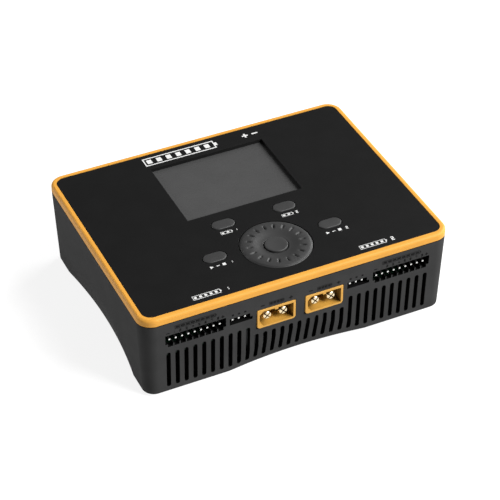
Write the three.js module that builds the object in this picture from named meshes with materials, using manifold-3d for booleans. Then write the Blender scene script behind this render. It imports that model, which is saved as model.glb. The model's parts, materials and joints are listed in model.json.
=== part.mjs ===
// Two-channel balance battery charger: a tabletop box with a screen, a jog dial and four keys on
// top, battery sockets and vents in the front wall, and the supply socket and fans in the rear wall.
//
// Millimetres. +X is the operator's right, +Y points to the rear wall, +Z is up.
// The origin is the middle of the ground under the four feet.

import * as THREE from "three";
import { mergeVertices } from "three/addons/utils/BufferGeometryUtils.js";
import Module from "manifold-3d";

const wasm = await Module();
wasm.setup();

const radians = THREE.MathUtils.degToRad;

// ---------------------------------------------------------------- driving dimensions

// Case
const caseLength = 126.6;
const caseDepth = 96.4;
const caseHeight = 36.8;
const caseCorner = 6.05;
const footHeight = 1.5;
const wall = 2.2;
const floorThickness = 2;
const draft = radians(2);
const bottomChamfer = 0.5;

// Fits: between parts that lie against each other, and between parts that pass or move
const seam = 0.1;
const clearance = 0.3;

// Trim frame round the top
const trimWidth = 2.15;
const trimHeight = 2.9;
const trimRound = 1.2;
const tongueWidth = 1.2;
const tongueDepth = 1.5;

// Panel and screen
const panelThickness = 1.5;
const windowWidth = 48.4;
const windowHeight = 36.5;
const windowGap = 7.4;
const lensThickness = 1;
const lensBorder = 1;
const displayBorder = 2.3;
const displayThickness = 2;
const backlightBorder = 3.3;

// Keys and dial
const keyWidth = 9.2;
const keyHeight = 5.2;
const keyCrown = 0.3;
const keyEdge = 0.35;
const keyFlange = 0.9;
const keyFlangeThickness = 0.8;
const keyTravel = 0.5;
const keyStemRadius = 1.6;
const keyStemDrop = 0.5;
const statusKeyX = 12.85;
const statusKeyGap = 5.8;
const startKeyGap = 10.2;
const startKeyRise = 2.8;
const dialFrontMargin = 7.3;
const dialRadius = 13.8;
const dialCrestRadius = 10.3;
const dialCrest = 0.6;
const dialRimFall = 0.35;
const dialDishFall = 0.4;
const dialEdge = 0.45;
const dialFlange = 1.1;
const hubWall = 1.1;
const dialGrips = 18;
const enterRadius = 4.45;
const enterCrown = 0.2;
const enterEdge = 0.3;
const enterFlange = 1.35;
const enterStemRadius = 2;
const encoderInset = 1.5;

// Circuit boards, measured down from the top of the trim
const boardThickness = 1.6;
const controlBoardTop = 7.3;
const mainBoardTop = 19.3;
const boardMargin = 0.9;
const boardSideMargin = 3.1;
const switchSize = 6;
const switchButtonRadius = 1.75;
const switchButtonHeight = 0.6;

// Scalloped walls: a shallow cylindrical cut that leans in towards the ground
const scallopRadius = 207;
const scallopLean = radians(10.2);
const endScallopTop = 24.3;
const sideScallopTop = 20.7;

// Vents
const slotPitch = 3.55;
const slotWidth = 1.7;
const slotBottom = 34.4;
const outerSlotTop = 17.45;
const innerSlotTop = 21.9;
const outerSlotsPerSide = 10;
const innerSlots = 11;
const rearSlotTop = 11.5;
const rearSlotBottom = 33;
const rearSlots = 6;

// Output sockets
const outputX = 9.9;
const outputTop = 10.5;
const outputWidth = 15.8;
const outputHeight = 8.7;
const outputProud = 0.25;
const outputLength = 16;
const outputPinRadius = 1.75;
const outputPinSpacing = 6.6;
const outputRim = 0.95;
const outputCavity = 12;
const outputChamfer = 1.5;

// Supply socket in the rear wall
const inputTop = 9.1;
const inputWidth = 21.2;
const inputHeight = 10.1;
const inputLength = 18;
const inputPinRadius = 2.25;
const inputPinSpacing = 10.9;
const inputRim = 1.1;
const inputCavity = 13;
const inputChamfer = 2;

// Details common to the power sockets and their pins
const shellSharpCorner = 0.3;
const shellSoftCorner = 1.3;
const shellKeyWidth = 1.3;
const shellKeyDrop = 0.7;
const powerPinTip = 0.5;
const powerPinTaper = 0.4;
const powerSplitWidth = 0.45;
const powerSplitDepth = 4;
const powerLegRadius = 0.9;
const powerLegInset = 1.2;
const powerPinTail = 2.6;

// Balance and data ports
const pinPitch = 2.5;
const pinThickness = 0.64;
const pinTipInset = 1;
const pinLevel = 11.9;
const balancePins = 9;
const balanceX = 42.35;
const balanceMouthTop = 9;
const balanceMouthBottom = 13.2;
const balanceMouthMargin = 0.8;
const balanceToothBottom = 14.6;
const balanceToothWidth = 0.45;
const dataPins = 3;
const dataX = 24.2;
const dataPinX = 0.5;
const dataMouthTop = 10.4;
const dataMouthBottom = 13.4;
const dataMouthMargin = 0.875;
const dataNotchWidth = 1;
const dataNotchHeight = 1.6;
const headerDepth = 9;
const headerWall = 0.9;
const headerBack = 1.6;
const headerEnd = 1.2;
const headerNotchDepth = 4;
const pinLegGap = 1;
const pinRail = 0.5;

// Side sockets
const usbY = -6;
const usbWidth = 7.8;
const usbHeight = 2.9;
const usbDepth = 5.6;
const usbSetBack = 0.5;
const usbSkin = 0.4;
const usbTongueWidth = 4.6;
const usbTongueHeight = 0.7;
const cardY = 12;
const cardWidth = 12.6;
const cardHeight = 1.6;
const cardDepth = 14;
const cardSkin = 0.3;

// Fans
const fanSize = 25;
const fanThickness = 10;
const fanX = 36;
const fanBoardGap = 2.4;
const fanBlades = 7;
const fanRim = 0.6;
const fanHubRadius = 7.2;
const fanShaftRadius = 1;
const fanShaftGap = 0.25;
const fanTipGap = 0.6;
const fanEndGap = 0.4;
const fanCorner = 1.5;
const fanHoleRadius = 1.4;
const fanHoleInset = 2.5;
const fanBladeChord = 7.2;
const fanBladeThickness = 0.8;
const fanBladePitch = radians(38);
const spiderThickness = 1.5;
const spiderArm = 1.6;

// Fasteners, pillars and feet
const pillarRadius = 3.2;
const pillarSpare = 0.45;
const pillarPortGap = 3.6;
const pillarBore = 1.55;
const caseScrewRadius = 1.35;
const caseScrewHead = 2.7;
const caseScrewLength = 10;
const caseScrewSpare = 1.5;
const screwCrossWidth = 0.7;
const screwCrossLength = 3.2;
const screwCrossDepth = 0.8;
const screwRecess = 1.8;
const bossRadius = 4.2;
const bossHeight = 1.6;
const postRadius = 2.6;
const postInset = 16;
const postRearInset = 7.6;
const footInset = 17;
const footRadius = 5;
const footEdge = 0.4;
const footRecess = 0.5;

// Cooling block under the main board
const sinkWidth = 39;
const sinkBase = 2;
const sinkFins = 13;
const sinkFinThickness = 1;
const sinkEndGap = 3.5;
const sinkFloorGap = 0.9;
const padThickness = 0.8;

// Larger components on the boards
const linkInset = 4;
const linkWidth = 5;
const linkLength = 24;
const linkY = 4;
const beeperX = 22;
const beeperY = 14;
const beeperRadius = 5;
const beeperHeight = 4.4;
const inductorX = 12;
const inductorY = -10;
const inductorOuter = 9;
const inductorInner = 4;
const inductorHeight = 8.5;
const inductorEdge = 1.2;
const capacitorX = 34;
const capacitorY = -14;
const capacitorRadius = 5;
const capacitorHeight = 9.3;
const capacitorEdge = 0.4;

// ---------------------------------------------------------------- levels and places

const topZ = footHeight + caseHeight;
const halfLength = caseLength / 2;
const halfDepth = caseDepth / 2;
const rimZ = topZ - trimHeight;
const panelTopZ = topZ - seam;
const panelBottomZ = panelTopZ - panelThickness;
const floorZ = footHeight + floorThickness;
const lensTopZ = panelBottomZ - seam / 2;
const displayTopZ = lensTopZ - lensThickness - seam / 2;
const backlightTopZ = displayTopZ - displayThickness - seam / 2;
const controlTopZ = topZ - controlBoardTop;
const controlBottomZ = controlTopZ - boardThickness;
const mainTopZ = topZ - mainBoardTop;
const mainBottomZ = mainTopZ - boardThickness;
const pinZ = topZ - pinLevel;
const flangeTopZ = panelBottomZ - clearance;
const flangeBottomZ = flangeTopZ - keyFlangeThickness;
const stemBottomZ = flangeBottomZ - keyStemDrop;
const switchTopZ = stemBottomZ - keyTravel - seam;
const dialY = -(halfDepth - dialFrontMargin - dialRadius);
const statusKeyY = dialY + dialRadius + statusKeyGap;
const startKeyX = dialRadius + startKeyGap;
const startKeyY = dialY + startKeyRise;
const windowY = statusKeyY + windowGap + windowHeight / 2;
const pillarBottomZ = floorZ + bossHeight;
const boardFrontY = -(halfDepth - wall - boardMargin);
const boardHalfX = halfLength - wall - boardSideMargin;

// How far the drafted wall stands inside the trim at height z
function draftInset(z) {
  return Math.max(0, rimZ - z) * Math.tan(draft);
}

// Depth of a scallop at the ground, at a distance along the wall from its middle
function scallopDepth(scallopTop, along) {
  const middle = (caseHeight - scallopTop) * Math.tan(scallopLean);
  return Math.max(0, middle - (along * along) / (2 * scallopRadius));
}

// The front pillars stand behind the balance ports, and all four clear the scalloped side walls
const frontPillarInset = wall + headerDepth + pinLegGap + pillarRadius + pillarPortGap;
const pillarInset = wall + draftInset(floorZ) + pillarRadius + pillarSpare
  + scallopDepth(sideScallopTop, halfDepth - frontPillarInset);
const pillarX = halfLength - pillarInset;

// The fans stand as near the scalloped rear wall as it lets them
const fanWallGap = draftInset(floorZ) + scallopDepth(endScallopTop, fanX - fanSize / 2) + seam;
const fanRearY = halfDepth - wall - fanWallGap;
const fanFrontY = fanRearY - fanThickness;
const mainRearY = fanFrontY - fanBoardGap;

// ---------------------------------------------------------------- shape helpers

// A manifold-3d solid from a closed three.js geometry
function solid(geometry) {
  const plain = geometry.clone();
  plain.deleteAttribute("normal");
  plain.deleteAttribute("uv");
  const merged = mergeVertices(plain, 1e-4);
  return new wasm.Manifold(new wasm.Mesh({
    numProp: 3,
    vertProperties: new Float32Array(merged.attributes.position.array),
    triVerts: new Uint32Array(merged.index.array),
  }));
}

// A three.js geometry from a manifold-3d solid
function geometryOf(shape) {
  const mesh = shape.getMesh();
  const geometry = new THREE.BufferGeometry();
  geometry.setAttribute("position", new THREE.BufferAttribute(mesh.vertProperties, 3));
  geometry.setIndex(new THREE.BufferAttribute(mesh.triVerts, 1));
  geometry.computeVertexNormals();
  return geometry;
}

// A box given by its lowest and highest corners
function block(low, high) {
  const size = high.map((value, axis) => value - low[axis]);
  const geometry = new THREE.BoxGeometry(...size);
  geometry.translate(...low.map((value, axis) => value + size[axis] / 2));
  return solid(geometry);
}

// An upright cylinder between two heights
function post(x, y, radius, lowZ, highZ, sides = 16) {
  const geometry = new THREE.CylinderGeometry(radius, radius, highZ - lowZ, sides);
  geometry.rotateX(Math.PI / 2);
  geometry.translate(x, y, (lowZ + highZ) / 2);
  return solid(geometry);
}

// A cylinder along Y between two depths
function barrel(x, z, radius, frontY, rearY, sides = 16) {
  const geometry = new THREE.CylinderGeometry(radius, radius, rearY - frontY, sides);
  geometry.translate(x, (frontY + rearY) / 2, z);
  return solid(geometry);
}

// A flat outline pushed up from lowZ to highZ
function prism(shape, lowZ, highZ, curveSegments = 2) {
  const geometry = new THREE.ExtrudeGeometry(shape, {
    depth: highZ - lowZ,
    bevelEnabled: false,
    curveSegments,
  });
  geometry.translate(0, 0, lowZ);
  return solid(geometry);
}

// An outline in X and Z pushed along Y from frontY to rearY
function wallPrism(shape, frontY, rearY, curveSegments = 2) {
  const geometry = new THREE.ExtrudeGeometry(shape, {
    depth: rearY - frontY,
    bevelEnabled: false,
    curveSegments,
  });
  geometry.rotateX(Math.PI / 2);
  geometry.translate(0, rearY, 0);
  return solid(geometry);
}

// A body of revolution about a vertical axis, from [radius, height] points in closed order
function turned(points, x, y, segments) {
  const profile = points.map(([radius, height]) => new THREE.Vector2(radius, height));
  const geometry = new THREE.LatheGeometry([...profile, profile[0]], segments);
  geometry.rotateX(Math.PI / 2);
  geometry.translate(x, y, 0);
  const shape = solid(geometry);
  return shape.volume() < 0 ? solid(flipped(geometry)) : shape;
}

// The same surface with every triangle turned over
function flipped(geometry) {
  const copy = geometry.clone();
  const index = copy.index.array;
  for (let i = 0; i < index.length; i += 3) {
    [index[i], index[i + 1]] = [index[i + 1], index[i]];
  }
  return copy;
}

function union(shapes) {
  return shapes.reduce((sum, shape) => sum.add(shape));
}

function cut(body, shapes) {
  return shapes.reduce((rest, shape) => rest.subtract(shape), body);
}

// Corner points of a rounded rectangle, anticlockwise
function roundedOutline(halfX, halfY, radius) {
  const cornerSteps = 6;
  const points = [];
  const quarters = [[1, 1], [-1, 1], [-1, -1], [1, -1]];
  quarters.forEach(([signX, signY], quarter) => {
    for (let step = 0; step <= cornerSteps; step += 1) {
      const angle = (quarter + step / cornerSteps) * Math.PI / 2;
      points.push([
        signX * (halfX - radius) + radius * Math.cos(angle),
        signY * (halfY - radius) + radius * Math.sin(angle),
      ]);
    }
  });
  return points;
}

// The case outline moved in by an inset, at height z
function caseLevel(inset, z) {
  const radius = Math.max(caseCorner - inset, 0.5);
  return { outline: roundedOutline(halfLength - inset, halfDepth - inset, radius), z };
}

// Skin over a stack of outlines. A ring joins the last outline to the first; a plain stack is capped.
function loft(levels, ring = false) {
  const count = levels[0].outline.length;
  const positions = levels.flatMap(({ outline, z }) => outline.flatMap(([x, y]) => [x, y, z]));
  const index = [];
  const bands = ring ? levels.length : levels.length - 1;
  for (let band = 0; band < bands; band += 1) {
    const low = band * count;
    const high = ((band + 1) % levels.length) * count;
    for (let i = 0; i < count; i += 1) {
      const next = (i + 1) % count;
      index.push(low + i, low + next, high + next, low + i, high + next, high + i);
    }
  }
  if (!ring) {
    const top = (levels.length - 1) * count;
    for (let i = 1; i < count - 1; i += 1) {
      index.push(0, i + 1, i, top, top + i, top + i + 1);
    }
  }
  const geometry = new THREE.BufferGeometry();
  geometry.setAttribute("position", new THREE.Float32BufferAttribute(positions, 3));
  geometry.setIndex(index);
  return solid(geometry);
}

// A rectangle with round ends, lying along its longer side
function stadium(centreX, centreY, width, height) {
  const radius = Math.min(width, height) / 2;
  return roundedRectangle(centreX, centreY, width, height, [radius, radius, radius, radius]);
}

// A rectangle with its own radius at each corner: lower left, lower right, upper right, upper left
function roundedRectangle(centreX, centreY, width, height, radii) {
  const [lowerLeft, lowerRight, upperRight, upperLeft] = radii;
  const left = centreX - width / 2;
  const right = centreX + width / 2;
  const bottom = centreY - height / 2;
  const top = centreY + height / 2;
  const shape = new THREE.Shape();
  shape.moveTo(left + lowerLeft, bottom);
  shape.lineTo(right - lowerRight, bottom);
  shape.absarc(right - lowerRight, bottom + lowerRight, lowerRight, -Math.PI / 2, 0);
  shape.lineTo(right, top - upperRight);
  shape.absarc(right - upperRight, top - upperRight, upperRight, 0, Math.PI / 2);
  shape.lineTo(left + upperLeft, top);
  shape.absarc(left + upperLeft, top - upperLeft, upperLeft, Math.PI / 2, Math.PI);
  shape.lineTo(left, bottom + lowerLeft);
  shape.absarc(left + lowerLeft, bottom + lowerLeft, lowerLeft, Math.PI, Math.PI * 1.5);
  return shape;
}

// A rectangle whose two left corners are cut off, as a polarised plug's socket has
function polarisedOutline(centreX, centreZ, width, height, chamfer) {
  const left = centreX - width / 2;
  const right = centreX + width / 2;
  const bottom = centreZ - height / 2;
  const top = centreZ + height / 2;
  return new THREE.Shape([
    new THREE.Vector2(left + chamfer, bottom),
    new THREE.Vector2(right, bottom),
    new THREE.Vector2(right, top),
    new THREE.Vector2(left + chamfer, top),
    new THREE.Vector2(left, top - chamfer),
    new THREE.Vector2(left, bottom + chamfer),
  ]);
}

// The four places mirrored about both middle planes
function fourCorners(x, y) {
  return [[-x, -y], [x, -y], [x, y], [-x, y]];
}

// What make returns for the left side, -1, and the right side, 1
function bothSides(make) {
  return [-1, 1].map(make);
}

// The front pair of pillars stands behind the balance ports
function pillarPlaces() {
  const frontY = -halfDepth + frontPillarInset;
  const rearY = halfDepth - pillarInset;
  return [[-pillarX, frontY], [pillarX, frontY], [pillarX, rearY], [-pillarX, rearY]];
}

// An upright cylinder at each pillar's place
function pillarPosts(radius, lowZ, highZ, sides) {
  return pillarPlaces().map(([x, y]) => post(x, y, radius, lowZ, highZ, sides));
}

function footPlaces() {
  return fourCorners(halfLength - footInset, halfDepth - footInset);
}

function footRecesses() {
  const radius = footRadius + clearance;
  return footPlaces().map(([x, y]) => post(x, y, radius, footHeight - 1, footHeight + footRecess));
}

// ---------------------------------------------------------------- materials

function material(color, roughness, metalness = 0) {
  return new THREE.MeshStandardMaterial({ color, roughness, metalness });
}

const materials = {
  casePlastic: () => material(0x3a3a3a, 0.6),
  trimPlastic: () => material(0xe8952c, 0.45),
  panelPlastic: () => material(0x161616, 0.35),
  keyPlastic: () => material(0x4a4a4a, 0.55),
  screenGlass: () => material(0x525458, 0.15),
  displayGlass: () => material(0x1c2022, 0.2),
  whitePlastic: () => material(0xe6e4dc, 0.5),
  boardGreen: () => material(0x14532c, 0.5),
  socketPlastic: () => material(0xe0a63a, 0.45),
  headerPlastic: () => material(0x181818, 0.6),
  platedMetal: () => material(0xd9d9d6, 0.3, 1),
  goldPlate: () => material(0xe2c078, 0.25, 1),
  steel: () => material(0x8c8f92, 0.4, 1),
  aluminium: () => material(0xa9adb0, 0.45, 1),
  fanPlastic: () => material(0x151515, 0.5),
  copper: () => material(0xb46a34, 0.4, 1),
  canMetal: () => material(0x2d3a55, 0.4, 0.3),
  padRubber: () => material(0x7f8c99, 0.9),
  footRubber: () => material(0x0f0f0f, 0.95),
};

const charger = new THREE.Group();

function addPart(name, shape, makeMaterial) {
  const mesh = new THREE.Mesh(geometryOf(shape), makeMaterial());
  mesh.name = name;
  charger.add(mesh);
}

// ---------------------------------------------------------------- case

// Cutter for one scallop. It follows a wall whose outer face is at y = -wallDistance at the rim,
// and offset moves the cut inwards, which keeps the wall's thickness when it shapes the inside.
function scallopCutter(wallDistance, scallopTop, offset) {
  const deepest = (caseHeight - scallopTop) * Math.tan(scallopLean);
  const halfSpan = Math.sqrt(2 * scallopRadius * (deepest + 2 * wall)) + wall;
  const steps = 10;
  const outside = -(deepest + 4 * wall);
  const points = [new THREE.Vector2(-halfSpan, outside), new THREE.Vector2(halfSpan, outside)];
  for (let step = 0; step <= steps; step += 1) {
    const x = halfSpan - (2 * halfSpan * step) / steps;
    points.push(new THREE.Vector2(x, offset - (x * x) / (2 * scallopRadius)));
  }
  const height = caseHeight;
  const geometry = new THREE.ExtrudeGeometry(new THREE.Shape(points), {
    depth: 2 * height,
    bevelEnabled: false,
  });
  geometry.translate(0, 0, -height);
  geometry.rotateX(scallopLean + draft);
  const apexZ = topZ - scallopTop;
  geometry.translate(0, -(wallDistance - draftInset(apexZ)), apexZ);
  return geometry;
}

function scallops(offset) {
  const sides = [
    [0, halfDepth, endScallopTop],
    [Math.PI, halfDepth, endScallopTop],
    [Math.PI / 2, halfLength, sideScallopTop],
    [-Math.PI / 2, halfLength, sideScallopTop],
  ];
  return sides.map(([turn, distance, top]) => {
    const geometry = scallopCutter(distance, top, offset);
    geometry.rotateZ(turn);
    return solid(geometry);
  });
}

// A vertical slot through the front or rear wall
function wallSlot(x, topBelow, bottomBelow, frontY, rearY) {
  const height = bottomBelow - topBelow;
  const centreZ = topZ - (topBelow + bottomBelow) / 2;
  return wallPrism(stadium(x, centreZ, slotWidth, height), frontY, rearY, 1);
}

function frontSlots() {
  const total = innerSlots + 2 * outerSlotsPerSide;
  const slots = [];
  for (let i = 0; i < total; i += 1) {
    const inner = i >= outerSlotsPerSide && i < outerSlotsPerSide + innerSlots;
    const x = (i - (total - 1) / 2) * slotPitch;
    slots.push(wallSlot(x, inner ? innerSlotTop : outerSlotTop, slotBottom, ...frontCutRange));
  }
  return slots;
}

function rearFanSlots() {
  const slots = [];
  for (const side of [-1, 1]) {
    for (let i = 0; i < rearSlots; i += 1) {
      const x = side * fanX + (i - (rearSlots - 1) / 2) * slotPitch;
      slots.push(wallSlot(x, rearSlotTop, rearSlotBottom, ...rearCutRange));
    }
  }
  return slots;
}

const cutDepth = wall + 4;
const frontCutRange = [-halfDepth - 1, -halfDepth + cutDepth];
const rearCutRange = [halfDepth - cutDepth, halfDepth + 1];

// Mouth of a balance port: a slot with a comb of teeth along its lower edge
function balanceMouth(x) {
  const [frontY, rearY] = frontCutRange;
  const half = (balancePins * pinPitch) / 2 + balanceMouthMargin;
  const combHalf = (balancePins * pinPitch) / 2;
  const pieces = [
    block([x - half, frontY, topZ - balanceMouthBottom], [x + half, rearY, topZ - balanceMouthTop]),
  ];
  for (let i = 0; i < balancePins; i += 1) {
    const left = x - combHalf + i * pinPitch + balanceToothWidth / 2;
    const right = left + pinPitch - balanceToothWidth;
    const low = topZ - balanceToothBottom;
    pieces.push(block([left, frontY, low], [right, rearY, topZ - balanceMouthTop]));
  }
  return union(pieces);
}

// Mouth of a data port: a slot with one upper corner filled, which keys the plug
function dataMouth(x) {
  const [frontY, rearY] = frontCutRange;
  const half = (dataPins * pinPitch) / 2 + dataMouthMargin;
  const left = x - half;
  const right = x + half;
  const low = topZ - dataMouthBottom;
  const high = topZ - dataMouthTop;
  return union([
    block([left, frontY, low], [right - dataNotchWidth, rearY, high]),
    block([left + 1, frontY, low], [right, rearY, high - dataNotchHeight]),
  ]);
}

// Opening for a power socket, a clearance larger than its shell
function socketOpening(x, top, width, height, range) {
  const half = width / 2 + clearance / 2;
  return block(
    [x - half, range[0], topZ - top - height - clearance / 2],
    [x + half, range[1], topZ - top + clearance / 2],
  );
}

function mainBoardPosts() {
  const x = boardHalfX - postInset;
  const places = [-1, 1].flatMap((side) => [
    [side * x, boardFrontY + postInset],
    [side * x, mainRearY - postRearInset],
  ]);
  return places.map(([postX, postY]) => post(postX, postY, postRadius, floorZ - 1, mainBottomZ - seam));
}

function lowerHousing() {
  const bottomInset = draftInset(footHeight);
  const outer = loft([
    caseLevel(bottomInset + bottomChamfer, footHeight),
    caseLevel(draftInset(footHeight + bottomChamfer), footHeight + bottomChamfer),
    caseLevel(0, rimZ),
  ]);
  const inner = cut(loft([
    caseLevel(draftInset(floorZ) + wall, floorZ),
    caseLevel(wall, rimZ),
    caseLevel(wall, rimZ + 1),
  ]), scallops(wall));
  const bosses = pillarPosts(bossRadius, floorZ - 1, pillarBottomZ - seam);
  const shell = union([cut(outer, [...scallops(0), inner]), ...mainBoardPosts()]);
  const sideFrom = halfLength - cutDepth;
  const sideTo = halfLength + 1;
  return cut(union([shell, ...bosses.map((boss) => boss.intersect(outer))]), [
    ...pillarPosts(pillarBore, footHeight - 1, pillarBottomZ + 1, 12),
    ...pillarPosts(caseScrewHead + clearance, footHeight - 1, footHeight + screwRecess),
    ...footRecesses(),
    ...frontSlots(),
    ...rearFanSlots(),
    ...bothSides((side) => balanceMouth(side * balanceX)),
    ...bothSides((side) => dataMouth(side * dataX)),
    ...bothSides((side) => (
      socketOpening(side * outputX, outputTop, outputWidth, outputHeight, frontCutRange)
    )),
    socketOpening(0, inputTop, inputWidth, inputHeight, rearCutRange),
    block(
      [sideFrom, usbY - usbWidth / 2 - clearance, controlBottomZ - usbHeight - 2 * clearance],
      [sideTo, usbY + usbWidth / 2 + clearance, controlBottomZ],
    ),
    block(
      [sideFrom, cardY - cardWidth / 2 - clearance, controlBottomZ - cardHeight - clearance],
      [sideTo, cardY + cardWidth / 2 + clearance, controlBottomZ],
    ),
  ]);
}

// Bright frame round the panel, with a tongue inside the case and a pillar down to each case screw
function trimRing() {
  const roundSteps = 4;
  const rounded = [];
  for (let step = 0; step <= roundSteps; step += 1) {
    const angle = (step / roundSteps) * Math.PI / 2;
    rounded.push(caseLevel(
      trimRound - trimRound * Math.cos(angle),
      topZ - trimRound + trimRound * Math.sin(angle),
    ));
  }
  const tongueOuter = wall + 2 * seam;
  const tongueInner = tongueOuter + tongueWidth;
  const seatZ = panelBottomZ - seam / 2;
  const ring = loft([
    caseLevel(0, rimZ),
    ...rounded,
    caseLevel(trimWidth, topZ),
    caseLevel(trimWidth, seatZ),
    caseLevel(tongueInner, seatZ),
    caseLevel(tongueInner, rimZ - tongueDepth),
    caseLevel(tongueOuter, rimZ - tongueDepth),
    caseLevel(tongueOuter, rimZ),
  ], true);
  const gussetRadius = pillarInset - tongueOuter - 2 * seam;
  const gussets = pillarPosts(gussetRadius, rimZ - tongueDepth, seatZ - seam);
  const pillars = pillarPosts(pillarRadius, pillarBottomZ, rimZ, 12);
  const bores = pillarPosts(pillarBore, pillarBottomZ - 1, pillarBottomZ + caseScrewLength, 12);
  return cut(union([ring, ...gussets, ...pillars]), bores);
}

function topPanel() {
  const inset = trimWidth + seam;
  const plate = loft([caseLevel(inset, panelBottomZ), caseLevel(inset, panelTopZ)]);
  const low = panelBottomZ - 1;
  const high = panelTopZ + 1;
  return cut(plate, [
    block(
      [-windowWidth / 2, windowY - windowHeight / 2, low],
      [windowWidth / 2, windowY + windowHeight / 2, high],
    ),
    post(0, dialY, dialRadius + clearance, low, high, 54),
    ...keys.map((key) => prism(keyOutline(key, clearance), low, high)),
  ]);
}

// ---------------------------------------------------------------- screen

function screenLayer(border, topOfLayer, bottomOfLayer) {
  return block(
    [-windowWidth / 2 - border, windowY - windowHeight / 2 - border, bottomOfLayer],
    [windowWidth / 2 + border, windowY + windowHeight / 2 + border, topOfLayer],
  );
}

function addScreen() {
  const lens = screenLayer(lensBorder, lensTopZ, lensTopZ - lensThickness);
  const display = screenLayer(displayBorder, displayTopZ, displayTopZ - displayThickness);
  const backlight = screenLayer(backlightBorder, backlightTopZ, controlTopZ + seam / 2);
  addPart("screen_window", lens, materials.screenGlass);
  addPart("lcd_panel", display, materials.displayGlass);
  addPart("lcd_backlight", backlight, materials.whitePlastic);
}

// ---------------------------------------------------------------- keys and dial

const keys = [
  { name: "status_key_1", x: -statusKeyX, y: statusKeyY },
  { name: "status_key_2", x: statusKeyX, y: statusKeyY },
  { name: "start_key_1", x: -startKeyX, y: startKeyY },
  { name: "start_key_2", x: startKeyX, y: startKeyY },
];

// Outline of a key, grown all round
function keyOutline({ x, y }, growth) {
  return stadium(x, y, keyWidth + 2 * growth, keyHeight + 2 * growth);
}

// Cap with a flange that keeps it under the panel and a stem over its switch
function keyCap(key) {
  const { x, y } = key;
  return union([
    prism(keyOutline(key, 0), flangeBottomZ, panelTopZ + keyCrown - keyEdge),
    prism(keyOutline(key, -keyEdge), flangeTopZ, panelTopZ + keyCrown),
    prism(keyOutline(key, keyFlange), flangeBottomZ, flangeTopZ, 1),
    post(x, y, keyStemRadius, stemBottomZ, flangeTopZ, 12),
  ]);
}

// Push switch soldered to the control board
function pushSwitch(x, y) {
  const half = switchSize / 2;
  return union([
    block(
      [x - half, y - half, controlTopZ + seam / 2],
      [x + half, y + half, switchTopZ - switchButtonHeight],
    ),
    post(x, y, switchButtonRadius, controlTopZ + 1, switchTopZ, 12),
  ]);
}

const dialSegments = dialGrips * 2;
const enterBore = enterRadius + clearance;
const enterFlangeRadius = enterRadius + enterFlange;
const hubBore = enterFlangeRadius + clearance;
const hubRadius = hubBore + hubWall;
const encoderBore = hubRadius + clearance;
const hubBottomZ = controlTopZ + 2 * clearance;

// Finger grips across the dial's crest
function dialGripCuts() {
  const length = 2.2;
  const side = 0.6;
  const cuts = [];
  for (let i = 0; i < dialGrips; i += 1) {
    const grip = new THREE.BoxGeometry(length, side, side);
    grip.rotateX(Math.PI / 4);
    grip.translate(dialCrestRadius, 0, panelTopZ + dialCrest);
    grip.rotateZ(Math.PI / 2 + (i * 2 * Math.PI) / dialGrips);
    grip.translate(0, dialY, 0);
    cuts.push(solid(grip));
  }
  return cuts;
}

// Dial: it falls from a crest to the rim outside and dishes to the enter key inside
function dialRing() {
  const profile = [
    [dialRadius, panelTopZ - dialRimFall],
    [dialRadius - dialEdge, panelTopZ - dialRimFall + dialEdge],
  ];
  const outerRun = dialRadius - dialEdge - dialCrestRadius;
  const outerRise = dialCrest + dialRimFall - dialEdge;
  const innerRun = dialCrestRadius - enterBore;
  const innerFall = dialCrest + dialDishFall;
  const curveSteps = 3;
  for (let step = 1; step <= curveSteps; step += 1) {
    const angle = (step / curveSteps) * Math.PI / 2;
    profile.push([
      dialCrestRadius + outerRun * Math.cos(angle),
      panelTopZ + dialCrest - outerRise + outerRise * Math.sin(angle),
    ]);
  }
  for (let step = 1; step <= curveSteps; step += 1) {
    const share = step / curveSteps;
    profile.push([
      dialCrestRadius - innerRun * share,
      panelTopZ + dialCrest - innerFall * Math.sin((share * Math.PI) / 2) ** 2,
    ]);
  }
  const flangeRadius = dialRadius + clearance + dialFlange;
  profile.push([enterBore, panelBottomZ]);
  profile.push([hubBore, panelBottomZ]);
  profile.push([hubBore, hubBottomZ]);
  profile.push([hubRadius, hubBottomZ]);
  profile.push([hubRadius, flangeBottomZ]);
  profile.push([flangeRadius, flangeBottomZ]);
  profile.push([flangeRadius, flangeTopZ]);
  profile.push([dialRadius, flangeTopZ]);
  return cut(turned(profile, 0, dialY, dialSegments), dialGripCuts());
}

function enterKey() {
  const crownZ = panelTopZ + enterCrown;
  return turned([
    [0, crownZ],
    [enterRadius - enterEdge, crownZ],
    [enterRadius, crownZ - enterEdge],
    [enterRadius, flangeTopZ],
    [enterFlangeRadius, flangeTopZ],
    [enterFlangeRadius, flangeBottomZ],
    [enterStemRadius, flangeBottomZ],
    [enterStemRadius, stemBottomZ],
    [0, stemBottomZ],
  ], 0, dialY, 24);
}

function encoderBase() {
  const outer = dialRadius - encoderInset;
  return turned([
    [encoderBore, controlTopZ + seam / 2],
    [outer, controlTopZ + seam / 2],
    [outer, flangeBottomZ - clearance],
    [encoderBore, flangeBottomZ - clearance],
  ], 0, dialY, 24);
}

function addKeysAndDial() {
  keys.forEach((key) => {
    addPart(key.name, keyCap(key), materials.keyPlastic);
    addPart(`${key.name}_switch`, pushSwitch(key.x, key.y), materials.headerPlastic);
  });
  addPart("dial_ring", dialRing(), materials.keyPlastic);
  addPart("enter_key", enterKey(), materials.keyPlastic);
  addPart("enter_key_switch", pushSwitch(0, dialY), materials.headerPlastic);
  addPart("encoder_base", encoderBase(), materials.headerPlastic);
}

// ---------------------------------------------------------------- boards and what they carry

// A board between the walls, cut away round the pillars
function board(lowZ, highZ, rearY) {
  const plate = block([-boardHalfX, boardFrontY, lowZ], [boardHalfX, rearY, highZ]);
  return cut(plate, pillarPosts(pillarRadius + 2 * clearance, lowZ - 1, highZ + 1));
}

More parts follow.
